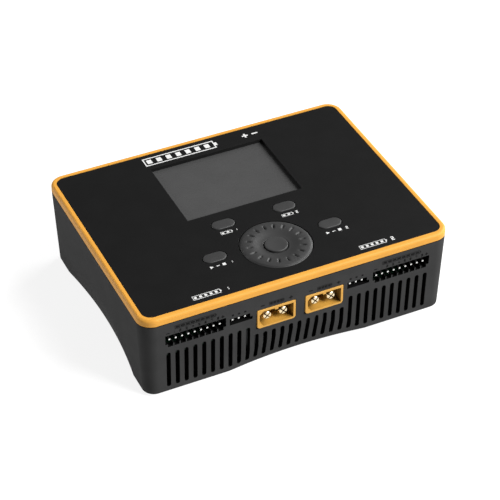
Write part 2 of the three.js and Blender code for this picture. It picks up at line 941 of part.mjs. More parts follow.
// Stacking connector that carries the signals from one board to the other
function boardLink() {
  const left = -boardHalfX + linkInset;
  return block(
    [left, linkY - linkLength / 2, mainTopZ + seam],
    [left + linkWidth, linkY + linkLength / 2, controlBottomZ - seam],
  );
}

function beeper() {
  const top = controlBottomZ - seam;
  return post(beeperX, beeperY, beeperRadius, top - beeperHeight, top);
}

// Ring-shaped choke lying on the main board
function inductor(x, y) {
  const lowZ = mainTopZ + seam;
  const highZ = lowZ + inductorHeight;
  return turned([
    [inductorInner, lowZ + inductorEdge],
    [inductorInner + inductorEdge, lowZ],
    [inductorOuter - inductorEdge, lowZ],
    [inductorOuter, lowZ + inductorEdge],
    [inductorOuter, highZ - inductorEdge],
    [inductorOuter - inductorEdge, highZ],
    [inductorInner + inductorEdge, highZ],
    [inductorInner, highZ - inductorEdge],
  ], x, y, 14);
}

function capacitor(x, y) {
  const lowZ = mainTopZ + seam;
  const highZ = lowZ + capacitorHeight;
  return turned([
    [0, lowZ],
    [capacitorRadius - capacitorEdge, lowZ],
    [capacitorRadius, lowZ + capacitorEdge],
    [capacitorRadius, highZ - capacitorEdge],
    [capacitorRadius - capacitorEdge, highZ],
    [0, highZ],
  ], x, y, 12);
}

const sinkFrontY = boardFrontY + sinkEndGap;
const sinkRearY = mainRearY - 1;

function thermalPad() {
  return block(
    [-sinkWidth / 2, sinkFrontY, mainBottomZ - padThickness - seam],
    [sinkWidth / 2, sinkRearY, mainBottomZ - seam],
  );
}

function heatsink() {
  const top = mainBottomZ - padThickness - 2 * seam;
  const bottom = floorZ + sinkFloorGap;
  const half = sinkWidth / 2;
  const pitch = (sinkWidth - sinkFinThickness) / (sinkFins - 1);
  const outline = [new THREE.Vector2(half, top), new THREE.Vector2(-half, top)];
  for (let i = 0; i < sinkFins; i += 1) {
    const left = -half + i * pitch;
    const right = left + sinkFinThickness;
    if (i > 0) {
      outline.push(new THREE.Vector2(left, top - sinkBase));
    }
    outline.push(new THREE.Vector2(left, bottom));
    outline.push(new THREE.Vector2(right, bottom));
    if (i < sinkFins - 1) {
      outline.push(new THREE.Vector2(right, top - sinkBase));
    }
  }
  return wallPrism(new THREE.Shape(outline), sinkFrontY, sinkRearY);
}

function addBoards() {
  const controlBoard = board(controlBottomZ, controlTopZ, -boardFrontY);
  const mainBoard = board(mainBottomZ, mainTopZ, mainRearY);
  addPart("control_board", controlBoard, materials.boardGreen);
  addPart("main_board", mainBoard, materials.boardGreen);
  addPart("board_link", boardLink(), materials.headerPlastic);
  addPart("beeper", beeper(), materials.headerPlastic);
  bothSides((side, i) => {
    addPart(`inductor_${i + 1}`, inductor(side * inductorX, inductorY), materials.copper);
    addPart(`capacitor_${i + 1}`, capacitor(side * capacitorX, capacitorY), materials.canMetal);
  });
  addPart("heatsink", heatsink(), materials.aluminium);
  addPart("thermal_pad", thermalPad(), materials.padRubber);
}

// ---------------------------------------------------------------- sockets

// Shell of a two-pole power socket whose mouth faces -Y, at the front of the case
function powerShell({ x, top, width, height, length, frontY, rim, depth, chamfer, pinRadius, spacing }) {
  const centreZ = topZ - top - height / 2;
  const rearY = frontY + length;
  const radii = [shellSoftCorner, shellSoftCorner, shellSharpCorner, shellSharpCorner];
  const outline = roundedRectangle(x, centreZ, width, height, radii);
  const mouth = polarisedOutline(x, centreZ, width - 2 * rim, height - 2 * rim, chamfer);
  const keyHalf = shellKeyWidth / 2;
  const cavityTop = centreZ + height / 2 - rim;
  const key = block(
    [x - keyHalf, frontY - 2, cavityTop - shellKeyDrop],
    [x + keyHalf, frontY + depth + 1, cavityTop + 1],
  );
  const hollow = cut(wallPrism(mouth, frontY - 1, frontY + depth), [key]);
  const holes = [-1, 1].map((side) => (
    barrel(x + side * spacing / 2, centreZ, pinRadius + clearance / 2, frontY, rearY + 1)
  ));
  return cut(wallPrism(outline, frontY, rearY), [hollow, ...holes]);
}

// Round contact pin, split crosswise at its tip, with a solder leg down to the main board
function powerPin(x, z, radius, tipY, rearY) {
  const tip = new THREE.CylinderGeometry(radius, radius - powerPinTaper, powerPinTip, 12);
  tip.translate(x, tipY + powerPinTip / 2, z);
  const splits = [Math.PI / 4, -Math.PI / 4].map((turn) => {
    const split = new THREE.BoxGeometry(powerSplitWidth, 2 * powerSplitDepth, 4 * radius);
    split.rotateY(turn);
    split.translate(x, tipY, z);
    return solid(split);
  });
  return cut(union([
    barrel(x, z, radius, tipY + powerPinTip, rearY, 12),
    solid(tip),
    post(x, rearY - powerLegInset, powerLegRadius, mainTopZ + seam, z, 8),
  ]), splits);
}

function addOutputs() {
  const frontY = -halfDepth + draftInset(topZ - outputTop) - outputProud;
  bothSides((side, i) => {
    const x = side * outputX;
    const z = topZ - outputTop - outputHeight / 2;
    addPart(`output_socket_${i + 1}`, powerShell({
      x,
      top: outputTop,
      width: outputWidth,
      height: outputHeight,
      length: outputLength,
      frontY,
      rim: outputRim,
      depth: outputCavity,
      chamfer: outputChamfer,
      pinRadius: outputPinRadius,
      spacing: outputPinSpacing,
    }), materials.socketPlastic);
    bothSides((pole, j) => {
      const pin = powerPin(
        x + pole * outputPinSpacing / 2,
        z,
        outputPinRadius,
        frontY + pinTipInset,
        frontY + outputLength + powerPinTail,
      );
      addPart(`output_pin_${i + 1}${j ? "_right" : "_left"}`, pin, materials.goldPlate);
    });
  });
}

// The supply socket is the same kind of socket, turned about to face +Y
function turnedAbout(shape) {
  const geometry = geometryOf(shape);
  geometry.rotateZ(Math.PI);
  return solid(geometry);
}

function addInput() {
  const frontY = -halfDepth + draftInset(topZ - inputTop) - outputProud / 2;
  addPart("input_socket", turnedAbout(powerShell({
    x: 0,
    top: inputTop,
    width: inputWidth,
    height: inputHeight,
    length: inputLength,
    frontY,
    rim: inputRim,
    depth: inputCavity,
    chamfer: inputChamfer,
    pinRadius: inputPinRadius,
    spacing: inputPinSpacing,
  })), materials.socketPlastic);
  const z = topZ - inputTop - inputHeight / 2;
  bothSides((pole, j) => {
    const pin = powerPin(
      pole * inputPinSpacing / 2,
      z,
      inputPinRadius,
      frontY + pinTipInset,
      frontY + inputLength + powerPinTail,
    );
    addPart(`input_pin${j ? "_left" : "_right"}`, turnedAbout(pin), materials.goldPlate);
  });
}

// Right-angle pin header hung under the control board: shell open to the front, bent pins behind
function headerShell(x, pins, bottomZ, mouthY, notched) {
  const half = (pins * pinPitch) / 2 + headerEnd;
  const rearY = mouthY + headerDepth;
  const topOfShell = controlBottomZ - seam;
  const shell = block([x - half, mouthY, bottomZ], [x + half, rearY, topOfShell]);
  const cavity = block(
    [x - half + headerWall, mouthY - 1, bottomZ + headerWall],
    [x + half - headerWall, rearY - headerBack, topOfShell - headerWall],
  );
  const hole = pinThickness / 2 + seam;
  const holes = pinPlaces(x, pins).map((pinX) => (
    block([pinX - hole, mouthY, pinZ - hole], [pinX + hole, rearY + 1, pinZ + hole])
  ));
  const notchHalf = (pinPitch - balanceToothWidth) / 2;
  const notchTop = bottomZ + 2 * headerWall;
  const notches = notched ? pinPlaces(x, pins).map((pinX) => block(
    [pinX - notchHalf, mouthY - 1, bottomZ - 1],
    [pinX + notchHalf, mouthY + headerNotchDepth, notchTop],
  )) : [];
  return cut(shell, [cavity, ...holes, ...notches]);
}

function pinPlaces(x, pins) {
  return Array.from({ length: pins }, (unused, i) => x + (i - (pins - 1) / 2) * pinPitch);
}

// A row of square pins bent up into the board, tied together by their solder line
function pinRow(x, pins, tipY, mouthY) {
  const half = pinThickness / 2;
  const legY = mouthY + headerDepth + pinLegGap;
  const legTop = controlBottomZ - seam;
  const places = pinPlaces(x, pins);
  const bent = places.flatMap((pinX) => [
    block([pinX - half, tipY, pinZ - half], [pinX + half, legY + half, pinZ + half]),
    block([pinX - half, legY - half, pinZ - half], [pinX + half, legY + half, legTop]),
  ]);
  const rail = block([places[0], legY - half, legTop - pinRail], [places[pins - 1], legY + half, legTop]);
  return union([...bent, rail]);
}

function addHeaders() {
  const wallY = -halfDepth + draftInset(pinZ);
  const mouthY = wallY + wall + clearance;
  const tipY = wallY + pinTipInset;
  const balanceBottom = topZ - balanceToothBottom - seam;
  const dataBottom = topZ - dataMouthBottom - 4 * seam;
  bothSides((side, i) => {
    const balanceCentre = side * balanceX;
    const dataCentre = side * dataX - dataPinX;
    const balanceShell = headerShell(balanceCentre, balancePins, balanceBottom, mouthY, true);
    const dataShell = headerShell(dataCentre, dataPins, dataBottom, mouthY, false);
    const balanceRow = pinRow(balanceCentre, balancePins, tipY, mouthY);
    const dataRow = pinRow(dataCentre, dataPins, tipY, mouthY);
    addPart(`balance_header_${i + 1}`, balanceShell, materials.headerPlastic);
    addPart(`balance_pins_${i + 1}`, balanceRow, materials.platedMetal);
    addPart(`data_header_${i + 1}`, dataShell, materials.headerPlastic);
    addPart(`data_pins_${i + 1}`, dataRow, materials.platedMetal);
  });
}

// Sheet-metal socket under the control board, closed but for its mouth in the right wall
function sideSocket({ mouthX, y, width, height, depth, skin }) {
  const half = width / 2;
  const high = controlBottomZ - seam;
  const low = high - height;
  const shell = block([mouthX - depth, y - half, low], [mouthX, y + half, high]);
  const cavity = block(
    [mouthX - depth + skin, y - half + skin, low + skin],
    [mouthX + 1, y + half - skin, high - skin],
  );
  return shell.subtract(cavity);
}

function usbPort() {
  const mouthX = halfLength - draftInset(controlBottomZ) - usbSetBack;
  const middle = controlBottomZ - seam - usbHeight / 2;
  const tongue = block(
    [mouthX - usbDepth, usbY - usbTongueWidth / 2, middle - usbTongueHeight / 2],
    [mouthX - 2 * usbSetBack, usbY + usbTongueWidth / 2, middle + usbTongueHeight / 2],
  );
  return sideSocket({
    mouthX,
    y: usbY,
    width: usbWidth,
    height: usbHeight,
    depth: usbDepth,
    skin: usbSkin,
  }).add(tongue);
}

function cardSocket() {
  return sideSocket({
    mouthX: halfLength - draftInset(controlBottomZ) - wall - clearance,
    y: cardY,
    width: cardWidth,
    height: cardHeight,
    depth: cardDepth,
    skin: cardSkin,
  });
}

// ---------------------------------------------------------------- fans

const fanZ = floorZ + seam + fanSize / 2;
const fanBoreRadius = fanSize / 2 - fanRim;

function fanFrame(x) {
  const half = fanSize / 2;
  const outline = roundedRectangle(x, fanZ, fanSize, fanSize, Array(4).fill(fanCorner));
  const screwOffset = half - fanHoleInset;
  const holes = fourCorners(screwOffset, screwOffset).map(([dx, dz]) => (
    barrel(x + dx, fanZ + dz, fanHoleRadius, fanFrontY - 1, fanRearY + 1, 8)
  ));
  const frame = cut(wallPrism(outline, fanFrontY, fanRearY, 1), [
    barrel(x, fanZ, fanBoreRadius, fanFrontY - 1, fanRearY + 1, 32),
    ...holes,
  ]);
  const spiderFront = fanRearY - spiderThickness;
  const arms = [0, 1].map((turn) => {
    const arm = new THREE.BoxGeometry(fanSize - fanRim, spiderThickness, spiderArm);
    arm.rotateY(Math.PI / 4 + turn * Math.PI / 2);
    arm.translate(x, fanRearY - spiderThickness / 2, fanZ);
    return solid(arm);
  });
  const hub = barrel(x, fanZ, fanHubRadius, spiderFront, fanRearY);
  const spider = cut(union([hub, ...arms]), [
    barrel(x, fanZ, fanShaftRadius + fanShaftGap, spiderFront - 1, fanRearY - fanEndGap),
  ]);
  return frame.add(spider);
}

function fanRotor(x) {
  const frontY = fanFrontY + fanEndGap;
  const rearY = fanRearY - spiderThickness - fanEndGap;
  const bladeLength = fanBoreRadius - fanTipGap - fanHubRadius + 1;
  const blades = [];
  for (let i = 0; i < fanBlades; i += 1) {
    const blade = new THREE.BoxGeometry(bladeLength, fanBladeChord, fanBladeThickness);
    blade.rotateX(fanBladePitch);
    blade.translate(fanHubRadius - 1 + bladeLength / 2, 0, 0);
    blade.rotateY((i * 2 * Math.PI) / fanBlades);
    blade.translate(x, (frontY + rearY) / 2, fanZ);
    blades.push(solid(blade));
  }
  return union([
    barrel(x, fanZ, fanHubRadius, frontY, rearY),
    barrel(x, fanZ, fanShaftRadius, rearY - 1, fanRearY - 2 * fanEndGap, 12),
    ...blades,
  ]);
}

function addFans() {
  bothSides((side) => {
    const name = side < 0 ? "left" : "right";
    addPart(`fan_frame_${name}`, fanFrame(side * fanX), materials.fanPlastic);
    addPart(`fan_rotor_${name}`, fanRotor(side * fanX), materials.fanPlastic);
  });
}

// ---------------------------------------------------------------- screws and feet

function caseScrew(x, y) {
  const headLow = footHeight + 2 * seam;
  const headHigh = footHeight + screwRecess - seam / 2;
  const tipZ = pillarBottomZ + caseScrewLength - caseScrewSpare;
  const short = screwCrossWidth / 2;
  const long = screwCrossLength / 2;
  const crossTop = headLow + screwCrossDepth;
  return cut(union([
    post(x, y, caseScrewHead, headLow, headHigh, 12),
    post(x, y, caseScrewRadius, headHigh - seam, tipZ, 12),
  ]), [
    block([x - long, y - short, headLow - 1], [x + long, y + short, crossTop]),
    block([x - short, y - long, headLow - 1], [x + short, y + long, crossTop]),
  ]);
}

function foot(x, y) {
  return turned([
    [0, 0],
    [footRadius - footEdge, 0],
    [footRadius, footEdge],
    [footRadius, footHeight + footRecess - seam / 2],
    [0, footHeight + footRecess - seam / 2],
  ], x, y, 16);
}

function addFastenersAndFeet() {
  pillarPlaces().forEach(([x, y], i) => {
    addPart(`case_screw_${i + 1}`, caseScrew(x, y), materials.steel);
  });
  footPlaces().forEach(([x, y], i) => {
    addPart(`rubber_foot_${i + 1}`, foot(x, y), materials.footRubber);
  });
}

// ---------------------------------------------------------------- assembly

addPart("lower_housing", lowerHousing(), materials.casePlastic);
addPart("trim_ring", trimRing(), materials.trimPlastic);
addPart("top_panel", topPanel(), materials.panelPlastic);
addScreen();
addKeysAndDial();
addBoards();
addOutputs();
addInput();
addHeaders();
addPart("usb_port", usbPort(), materials.steel);
addPart("card_socket", cardSocket(), materials.steel);
addFans();
addFastenersAndFeet();

export default charger;
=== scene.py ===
"""Balance battery charger: the finished surfaces, materials, light and camera round its CAD frame."""
import json
import math

import bmesh
import bpy
from mathutils import Matrix, Vector


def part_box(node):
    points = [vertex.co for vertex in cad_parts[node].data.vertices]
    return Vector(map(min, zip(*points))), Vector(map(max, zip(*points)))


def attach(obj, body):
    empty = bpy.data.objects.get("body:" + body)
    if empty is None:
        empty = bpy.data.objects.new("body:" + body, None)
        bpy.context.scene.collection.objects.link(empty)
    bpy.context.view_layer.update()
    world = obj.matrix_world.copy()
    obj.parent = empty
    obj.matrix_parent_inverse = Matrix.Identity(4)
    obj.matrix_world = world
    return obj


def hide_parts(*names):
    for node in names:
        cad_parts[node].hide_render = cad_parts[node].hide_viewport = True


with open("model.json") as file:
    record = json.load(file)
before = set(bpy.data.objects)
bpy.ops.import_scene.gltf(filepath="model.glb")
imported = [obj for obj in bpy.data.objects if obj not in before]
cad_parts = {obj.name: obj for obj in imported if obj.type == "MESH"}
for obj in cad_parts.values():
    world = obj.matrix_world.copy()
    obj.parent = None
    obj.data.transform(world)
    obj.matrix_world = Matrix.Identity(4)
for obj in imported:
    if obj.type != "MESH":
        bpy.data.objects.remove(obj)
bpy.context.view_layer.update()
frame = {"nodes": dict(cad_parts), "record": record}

# Lengths are in millimetres, as in the CAD part, and become metres when a mesh is made
MM = 0.001


def corners(node):
    """Lowest and highest corners of a CAD node, in millimetres."""
    low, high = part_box(node)
    return Vector(low) / MM, Vector(high) / MM


def middle(node):
    low, high = corners(node)
    return (low + high) / 2


# ---------------------------------------------------------------- dimensions

housing_low, housing_high = corners("lower_housing")
trim_low, trim_high = corners("trim_ring")
panel_low, panel_high = corners("top_panel")
lens_low, lens_high = corners("screen_window")
board_low, board_high = corners("control_board")
main_low, main_high = corners("main_board")

HALF_LENGTH = housing_high.x
HALF_DEPTH = housing_high.y
BASE_Z = housing_low.z
RIM_Z = housing_high.z
TOP_Z = trim_high.z
PANEL_TOP = panel_high.z
PANEL_BOTTOM = panel_low.z
CASE_HEIGHT = TOP_Z - BASE_Z

CORNER = 6.05
WALL = 2.2
FLOOR_Z = BASE_Z + 2
DRAFT = math.radians(2)
BOTTOM_ROUND = 0.5
SHADOW_GAP = 0.35
SEAM = 0.1
CLEARANCE = 0.3

TRIM_WIDTH = 2.15
TRIM_ROUND = 1.2
TONGUE_WIDTH = 1.2
TONGUE_DEPTH = 1.5
PILLAR_RADIUS = 3.2
PILLAR_BORE = 1.55
PILLAR_HOLE = 10
BOSS_RADIUS = 4.2
POST_RADIUS = 2.6

SCALLOP_RADIUS = 207
SCALLOP_LEAN = math.radians(10.2)
END_SCALLOP_TOP = 24.3
SIDE_SCALLOP_TOP = 20.7

SLOT_PITCH = 3.55
SLOT_WIDTH = 1.7
SLOT_BOTTOM = 34.4
OUTER_SLOT_TOP = 17.45
INNER_SLOT_TOP = 21.9
OUTER_SLOTS = 10
INNER_SLOTS = 11
REAR_SLOTS = 6
REAR_SLOT_TOP = 11.5
REAR_SLOT_BOTTOM = 33

PIN_PITCH = 2.5
BALANCE_PINS = 9
BALANCE_TOP = 9
BALANCE_BOTTOM = 13.2
BALANCE_MARGIN = 0.8
TOOTH_BOTTOM = 14.6
TOOTH_WIDTH = 0.45
DATA_PINS = 3
DATA_SHIFT = 0.5
DATA_TOP = 10.4
DATA_BOTTOM = 13.4
DATA_MARGIN = 0.875
DATA_NOTCH_WIDTH = 1
DATA_NOTCH_HEIGHT = 1.6

FLANGE_THICKNESS = 0.8
KEY_FLANGE = 0.9
KEY_EDGE = 0.4
KEY_CROWN = 0.08
KEY_STEM_RADIUS = 1.6
PANEL_EDGE = 0.15

DIAL_RADIUS = 13.8
DIAL_CREST_RADIUS = 10.3
DIAL_RIM_DROP = 0.35
DIAL_RIM_EDGE = 0.45
DIAL_DISH_DROP = 0.4
DIAL_HUB_WALL = 1.1
DIAL_BORE_EDGE = 0.12
DIAL_GRIPS = 18
GRIP_DEPTH = 0.65
GRIP_WIDTH = 0.34
GRIP_LENGTH = 1.05

ENTER_RADIUS = 4.45
ENTER_FLANGE = 1.35
ENTER_STEM_RADIUS = 2
ENTER_EDGE = 0.35
ENTER_DISH = 0.12

SHELL_EDGE = 0.25
SHELL_LOW_CORNER = 1.3
SHELL_HIGH_CORNER = 0.5
MOUTH_KEY_HALF = 0.65
MOUTH_KEY_DROP = 0.7
OUTPUT_RIM = 0.95
OUTPUT_CAVITY = 12
OUTPUT_CHAMFER = 1.5
OUTPUT_PIN_RADIUS = 1.75
INPUT_RIM = 1.1
INPUT_CAVITY = 13
INPUT_CHAMFER = 2
INPUT_PIN_RADIUS = 2.25
PIN_TIP_EDGE = 0.55
PIN_LEG_RADIUS = 0.9
PIN_LEG_REACH = 1.2
SPLIT_HALF_WIDTH = 0.24
SPLIT_DEPTH = 4

BOARD_POST_SIDE = 16
BOARD_POST_FRONT = 16
BOARD_POST_REAR = 7.6
SCREW_RECESS = 1.8
SCREW_HEAD = 2.7
SCREW_SHANK = 1.35
SCREW_POINT = 0.6
SCREW_EDGE = 0.4
CROSS_LENGTH = 1.6
CROSS_WIDTH = 0.35
CROSS_DEPTH = 0.8
FOOT_RECESS = 0.5
FOOT_EDGE = 0.4


def draft_inset(z):
    """How far the drafted wall stands inside the trim at height z."""
    return max(0, RIM_Z - z) * math.tan(DRAFT)


# ---------------------------------------------------------------- outlines

def arc(x, y, radius, start, end, steps):
    """Points along an arc, the angles in degrees."""
    points = []
    for i in range(steps + 1):
        angle = math.radians(start + (end - start) * i / steps)
        points.append((x + radius * math.cos(angle), y + radius * math.sin(angle)))
    return points


def circle(x, y, radius, sides=48):
    return arc(x, y, radius, 0, 360, sides)[:-1]


def rectangle(left, right, low, high):
    return [(left, low), (right, low), (right, high), (left, high)]


def rounded(left, right, low, high, radii, steps=6):
    """A rectangle with a radius at each corner: lower left, lower right, upper right, upper left."""
    lower_left, lower_right, upper_right, upper_left = radii
    return (
        arc(left + lower_left, low + lower_left, lower_left, 180, 270, steps)
        + arc(right - lower_right, low + lower_right, lower_right, 270, 360, steps)
        + arc(right - upper_right, high - upper_right, upper_right, 0, 90, steps)
        + arc(left + upper_left, high - upper_left, upper_left, 90, 180, steps)
    )


def stadium(x, y, width, height, steps=12):
    """A rectangle with round ends, lying along its longer side."""
    radius = min(width, height) / 2 - 0.001
    left, right = x - width / 2, x + width / 2
    low, high = y - height / 2, y + height / 2
    return rounded(left, right, low, high, [radius] * 4, steps)


def case_outline(inset, steps=16):
    """The case's plan outline moved in by an inset."""
    radius = max(CORNER - inset, 0.5)
    across = HALF_LENGTH - inset
    along = HALF_DEPTH - inset
    return rounded(-across, across, -along, along, [radius] * 4, steps)


# ---------------------------------------------------------------- mesh making

def upright(outline, z):
    """An outline laid level at height z."""
    return [(x, y, z) for x, y in outline]


def facing_front(outline, y):
    """An outline in X and Z standing at depth y."""
    return [(x, y, z) for x, z in outline]


def loft(bm, sections, ring=False):
    """Skin over sections of equal length: closed on itself as a ring, otherwise capped."""
    rows = [[bm.verts.new(point) for point in section] for section in sections]
    pairs = list(zip(rows, rows[1:]))
    if ring:
        pairs.append((rows[-1], rows[0]))
    faces = []
    for low, high in pairs:
        count = len(low)
        for i in range(count):
            j = (i + 1) % count
            faces.append(bm.faces.new((low[i], low[j], high[j], high[i])))
    if not ring:
        faces.append(bm.faces.new(list(reversed(rows[0]))))
        faces.append(bm.faces.new(rows[-1]))
    bmesh.ops.recalc_face_normals(bm, faces=faces)
    return faces


def revolve(bm, profile, x, y, sides=64, height=None):
    """Turns a closed profile of (radius, z) about an upright axis. height(r, angle) is added to z."""
    rings = []
    for radius, z in profile:
        if radius == 0:
            rings.append([bm.verts.new((x, y, z))])
            continue
        ring = []
        for i in range(sides):
            angle = 2 * math.pi * i / sides
            lift = height(radius, angle, z) if height else 0
            point = (x + radius * math.cos(angle), y + radius * math.sin(angle), z + lift)
            ring.append(bm.verts.new(point))
        rings.append(ring)
    faces = []
    on_axis = profile[0][0] == 0
    pairs = list(zip(rings, rings[1:]))
    if not on_axis:
        pairs.append((rings[-1], rings[0]))
    for low, high in pairs:
        for i in range(sides):
            j = (i + 1) % sides
            if len(low) == 1:
                faces.append(bm.faces.new((low[0], high[j], high[i])))
            elif len(high) == 1:
                faces.append(bm.faces.new((low[i], low[j], high[0])))
            else:
                faces.append(bm.faces.new((low[i], low[j], high[j], high[i])))
    bmesh.ops.recalc_face_normals(bm, faces=faces)
    return faces


def solid(name, draw):
    """An object whose mesh draw(bm) makes in millimetres."""
    bm = bmesh.new()
    draw(bm)
    bmesh.ops.scale(bm, vec=(MM, MM, MM), verts=bm.verts)
    mesh = bpy.data.meshes.new(name)
    bm.to_mesh(mesh)
    bm.free()
    piece = bpy.data.objects.new(name, mesh)
    bpy.context.scene.collection.objects.link(piece)
    return piece


def combine(piece, others, operation):
    """Joins other solids to a piece, or cuts them from it, and uses them up."""
    for other in others:
        modifier = piece.modifiers.new("boolean", "BOOLEAN")
        modifier.solver = "MANIFOLD"
        modifier.operation = operation
        modifier.object = other
    graph = bpy.context.evaluated_depsgraph_get()
    result = bpy.data.meshes.new_from_object(piece.evaluated_get(graph))
    piece.modifiers.clear()
    old = piece.data
    piece.data = result
    result.name = piece.name
    bpy.data.meshes.remove(old)
    for other in others:
        mesh = other.data
        bpy.data.objects.remove(other)
        bpy.data.meshes.remove(mesh)
    return piece


def cut(piece, draw):
    return combine(piece, [solid("cutter", draw)], "DIFFERENCE")


def join(piece, draw):
    return combine(piece, [solid("addition", draw)], "UNION")


def finish(piece, material, body, nodes=(), sharp=35):
    """Smooth shading, the material, and what the piece stands for."""
    mesh = piece.data
    mesh.materials.clear()
    mesh.materials.append(material)
    mesh.shade_smooth()
    mesh.set_sharp_from_angle(angle=math.radians(sharp))
    normals = piece.modifiers.new("normals", "WEIGHTED_NORMAL")
    normals.keep_sharp = True
    normals.weight = 90
    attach(piece, body)
    if nodes:
        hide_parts(*nodes)
    return piece


# ---------------------------------------------------------------- materials

class Shader:
    """A Principled material whose colour, roughness and surface are driven by noise."""

    def __init__(self, name, roughness, specular=0.5, metallic=0.0):
        self.material = bpy.data.materials.new(name)
        self.material.use_nodes = True
        self.nodes = self.material.node_tree.nodes
        self.links = self.material.node_tree.links
        self.surface = self.nodes["Principled BSDF"]
        self.surface.inputs["Roughness"].default_value = roughness
        self.surface.inputs["Specular IOR Level"].default_value = specular
        self.surface.inputs["Metallic"].default_value = metallic
        self.place = self.nodes.new("ShaderNodeTexCoord").outputs["Object"]

    def noise(self, size, detail=3.0, stretch=(1, 1, 1)):
        """Noise whose features are about size millimetres across."""
        mapping = self.nodes.new("ShaderNodeMapping")
        mapping.inputs["Scale"].default_value = stretch
        self.links.new(self.place, mapping.inputs["Vector"])
        texture = self.nodes.new("ShaderNodeTexNoise")
        texture.inputs["Scale"].default_value = 1 / (size * MM)
        texture.inputs["Detail"].default_value = detail
        self.links.new(mapping.outputs["Vector"], texture.inputs["Vector"])
        return texture.outputs["Fac"]

    def colour(self, noise, dark, light, low=0.35, high=0.65):
        ramp = self.nodes.new("ShaderNodeValToRGB")
        ramp.color_ramp.elements[0].position = low
        ramp.color_ramp.elements[0].color = (*dark, 1)
        ramp.color_ramp.elements[1].position = high
        ramp.color_ramp.elements[1].color = (*light, 1)
        self.links.new(noise, ramp.inputs["Fac"])
        self.links.new(ramp.outputs["Color"], self.surface.inputs["Base Color"])

    def cavity(self, reach, least):
        """Paints shade into the colour: darkens it, down to least of itself, where the piece shuts itself
        in within reach.
        """
        painted_hollow_shade = self.nodes.new("ShaderNodeAmbientOcclusion")
        painted_hollow_shade.samples = 6
        painted_hollow_shade.only_local = True
        painted_hollow_shade.inputs["Distance"].default_value = reach * MM
        depth = self.nodes.new("ShaderNodeMapRange")
        depth.inputs["From Min"].default_value = 0.6
        depth.inputs["From Max"].default_value = 0.96
        depth.inputs["To Min"].default_value = least
        self.links.new(painted_hollow_shade.outputs["AO"], depth.inputs["Value"])
        mix = self.nodes.new("ShaderNodeVectorMath")
        mix.operation = "SCALE"
        self.links.new(self.surface.inputs["Base Color"].links[0].from_socket, mix.inputs[0])
        self.links.new(depth.outputs["Result"], mix.inputs["Scale"])
        self.links.new(mix.outputs["Vector"], self.surface.inputs["Base Color"])

    def rough(self, noise, low, high):
        spread = self.nodes.new("ShaderNodeMapRange")
        spread.inputs["To Min"].default_value = low
        spread.inputs["To Max"].default_value = high
        self.links.new(noise, spread.inputs["Value"])
        self.links.new(spread.outputs["Result"], self.surface.inputs["Roughness"])

    def bump(self, noise, height, edge=0.0):
        """Surface relief height millimetres deep, over edges rounded by edge millimetres."""
        relief = self.nodes.new("ShaderNodeBump")
        relief.inputs["Distance"].default_value = height * MM
        relief.inputs["Strength"].default_value = 1.0
        self.links.new(noise, relief.inputs["Height"])
        if edge:
            rounding = self.nodes.new("ShaderNodeBevel")
            rounding.samples = 4
            rounding.inputs["Radius"].default_value = edge * MM
            self.links.new(rounding.outputs["Normal"], relief.inputs["Normal"])
        self.links.new(relief.outputs["Normal"], self.surface.inputs["Normal"])


def linear(*levels):
    """Linear colour from 8-bit display levels."""
    values = []
    for level in levels:
        share = level / 255
        values.append(share / 12.92 if share <= 0.04045 else ((share + 0.055) / 1.055) ** 2.4)
    return tuple(values)


def shade(colour, factor):
    return tuple(min(1.0, part * factor) for part in colour)


def moulded(name, colour, roughness, grain, relief, specular=0.5, edge=0.0, mottle=0.06, painted_hollow_shade=None):
    """Moulded plastic: fine sparked grain, slight mottling, uneven gloss and, where asked, painted shade
    that darkens its hollows.
    """
    shader = Shader(name, roughness, specular)
    coarse = shader.noise(9, 2)
    fine = shader.noise(grain, 2)
    shader.colour(coarse, shade(colour, 1 - mottle), shade(colour, 1 + mottle))
    # Painted shade: the colour darkens in the piece's own hollows
    if painted_hollow_shade:
        shader.cavity(*painted_hollow_shade)
    shader.rough(fine, roughness - 0.06, roughness + 0.06)
    shader.bump(fine, relief, edge)
    return shader.material


def metal(name, colour, roughness, stretch=(1, 1, 1)):
    """Bare or plated metal with drawn streaks along one direction."""
    shader = Shader(name, roughness, metallic=1.0)
    streaks = shader.noise(0.5, 3, stretch)
    shader.colour(streaks, shade(colour, 0.88), shade(colour, 1.0))
    shader.rough(streaks, roughness - 0.08, roughness + 0.1)
    shader.bump(streaks, 0.01)
    return shader.material


CASE_GREY = linear(43, 43, 43)
TRIM_ORANGE = linear(172, 122, 48)
PANEL_BLACK = linear(14, 14, 14)
KEY_GREY = linear(41, 41, 41)
SOCKET_AMBER = linear(162, 120, 50)

# Painted shade darkens the case's slots and recesses, down to 6% of its colour within 3 mm
case_plastic = moulded("case_plastic", CASE_GREY, 0.65, 0.35, 0.015, 0.02, edge=0.15, painted_hollow_shade=(3, 0.06))
trim_plastic = moulded("trim_plastic", TRIM_ORANGE, 0.5, 0.5, 0.01, 0.12, edge=0.1, mottle=0.02)
panel_plastic = moulded("panel_plastic", PANEL_BLACK, 0.5, 0.3, 0.01, 0.08, edge=0.1)
key_plastic = moulded("key_plastic", KEY_GREY, 0.5, 0.3, 0.012, 0.2)
# Painted shade darkens the dial's grip grooves and the gap round the enter button
dial_plastic = moulded("dial_plastic", linear(39, 39, 39), 0.5, 0.35, 0.012, 0.2, painted_hollow_shade=(1.2, 0.25))
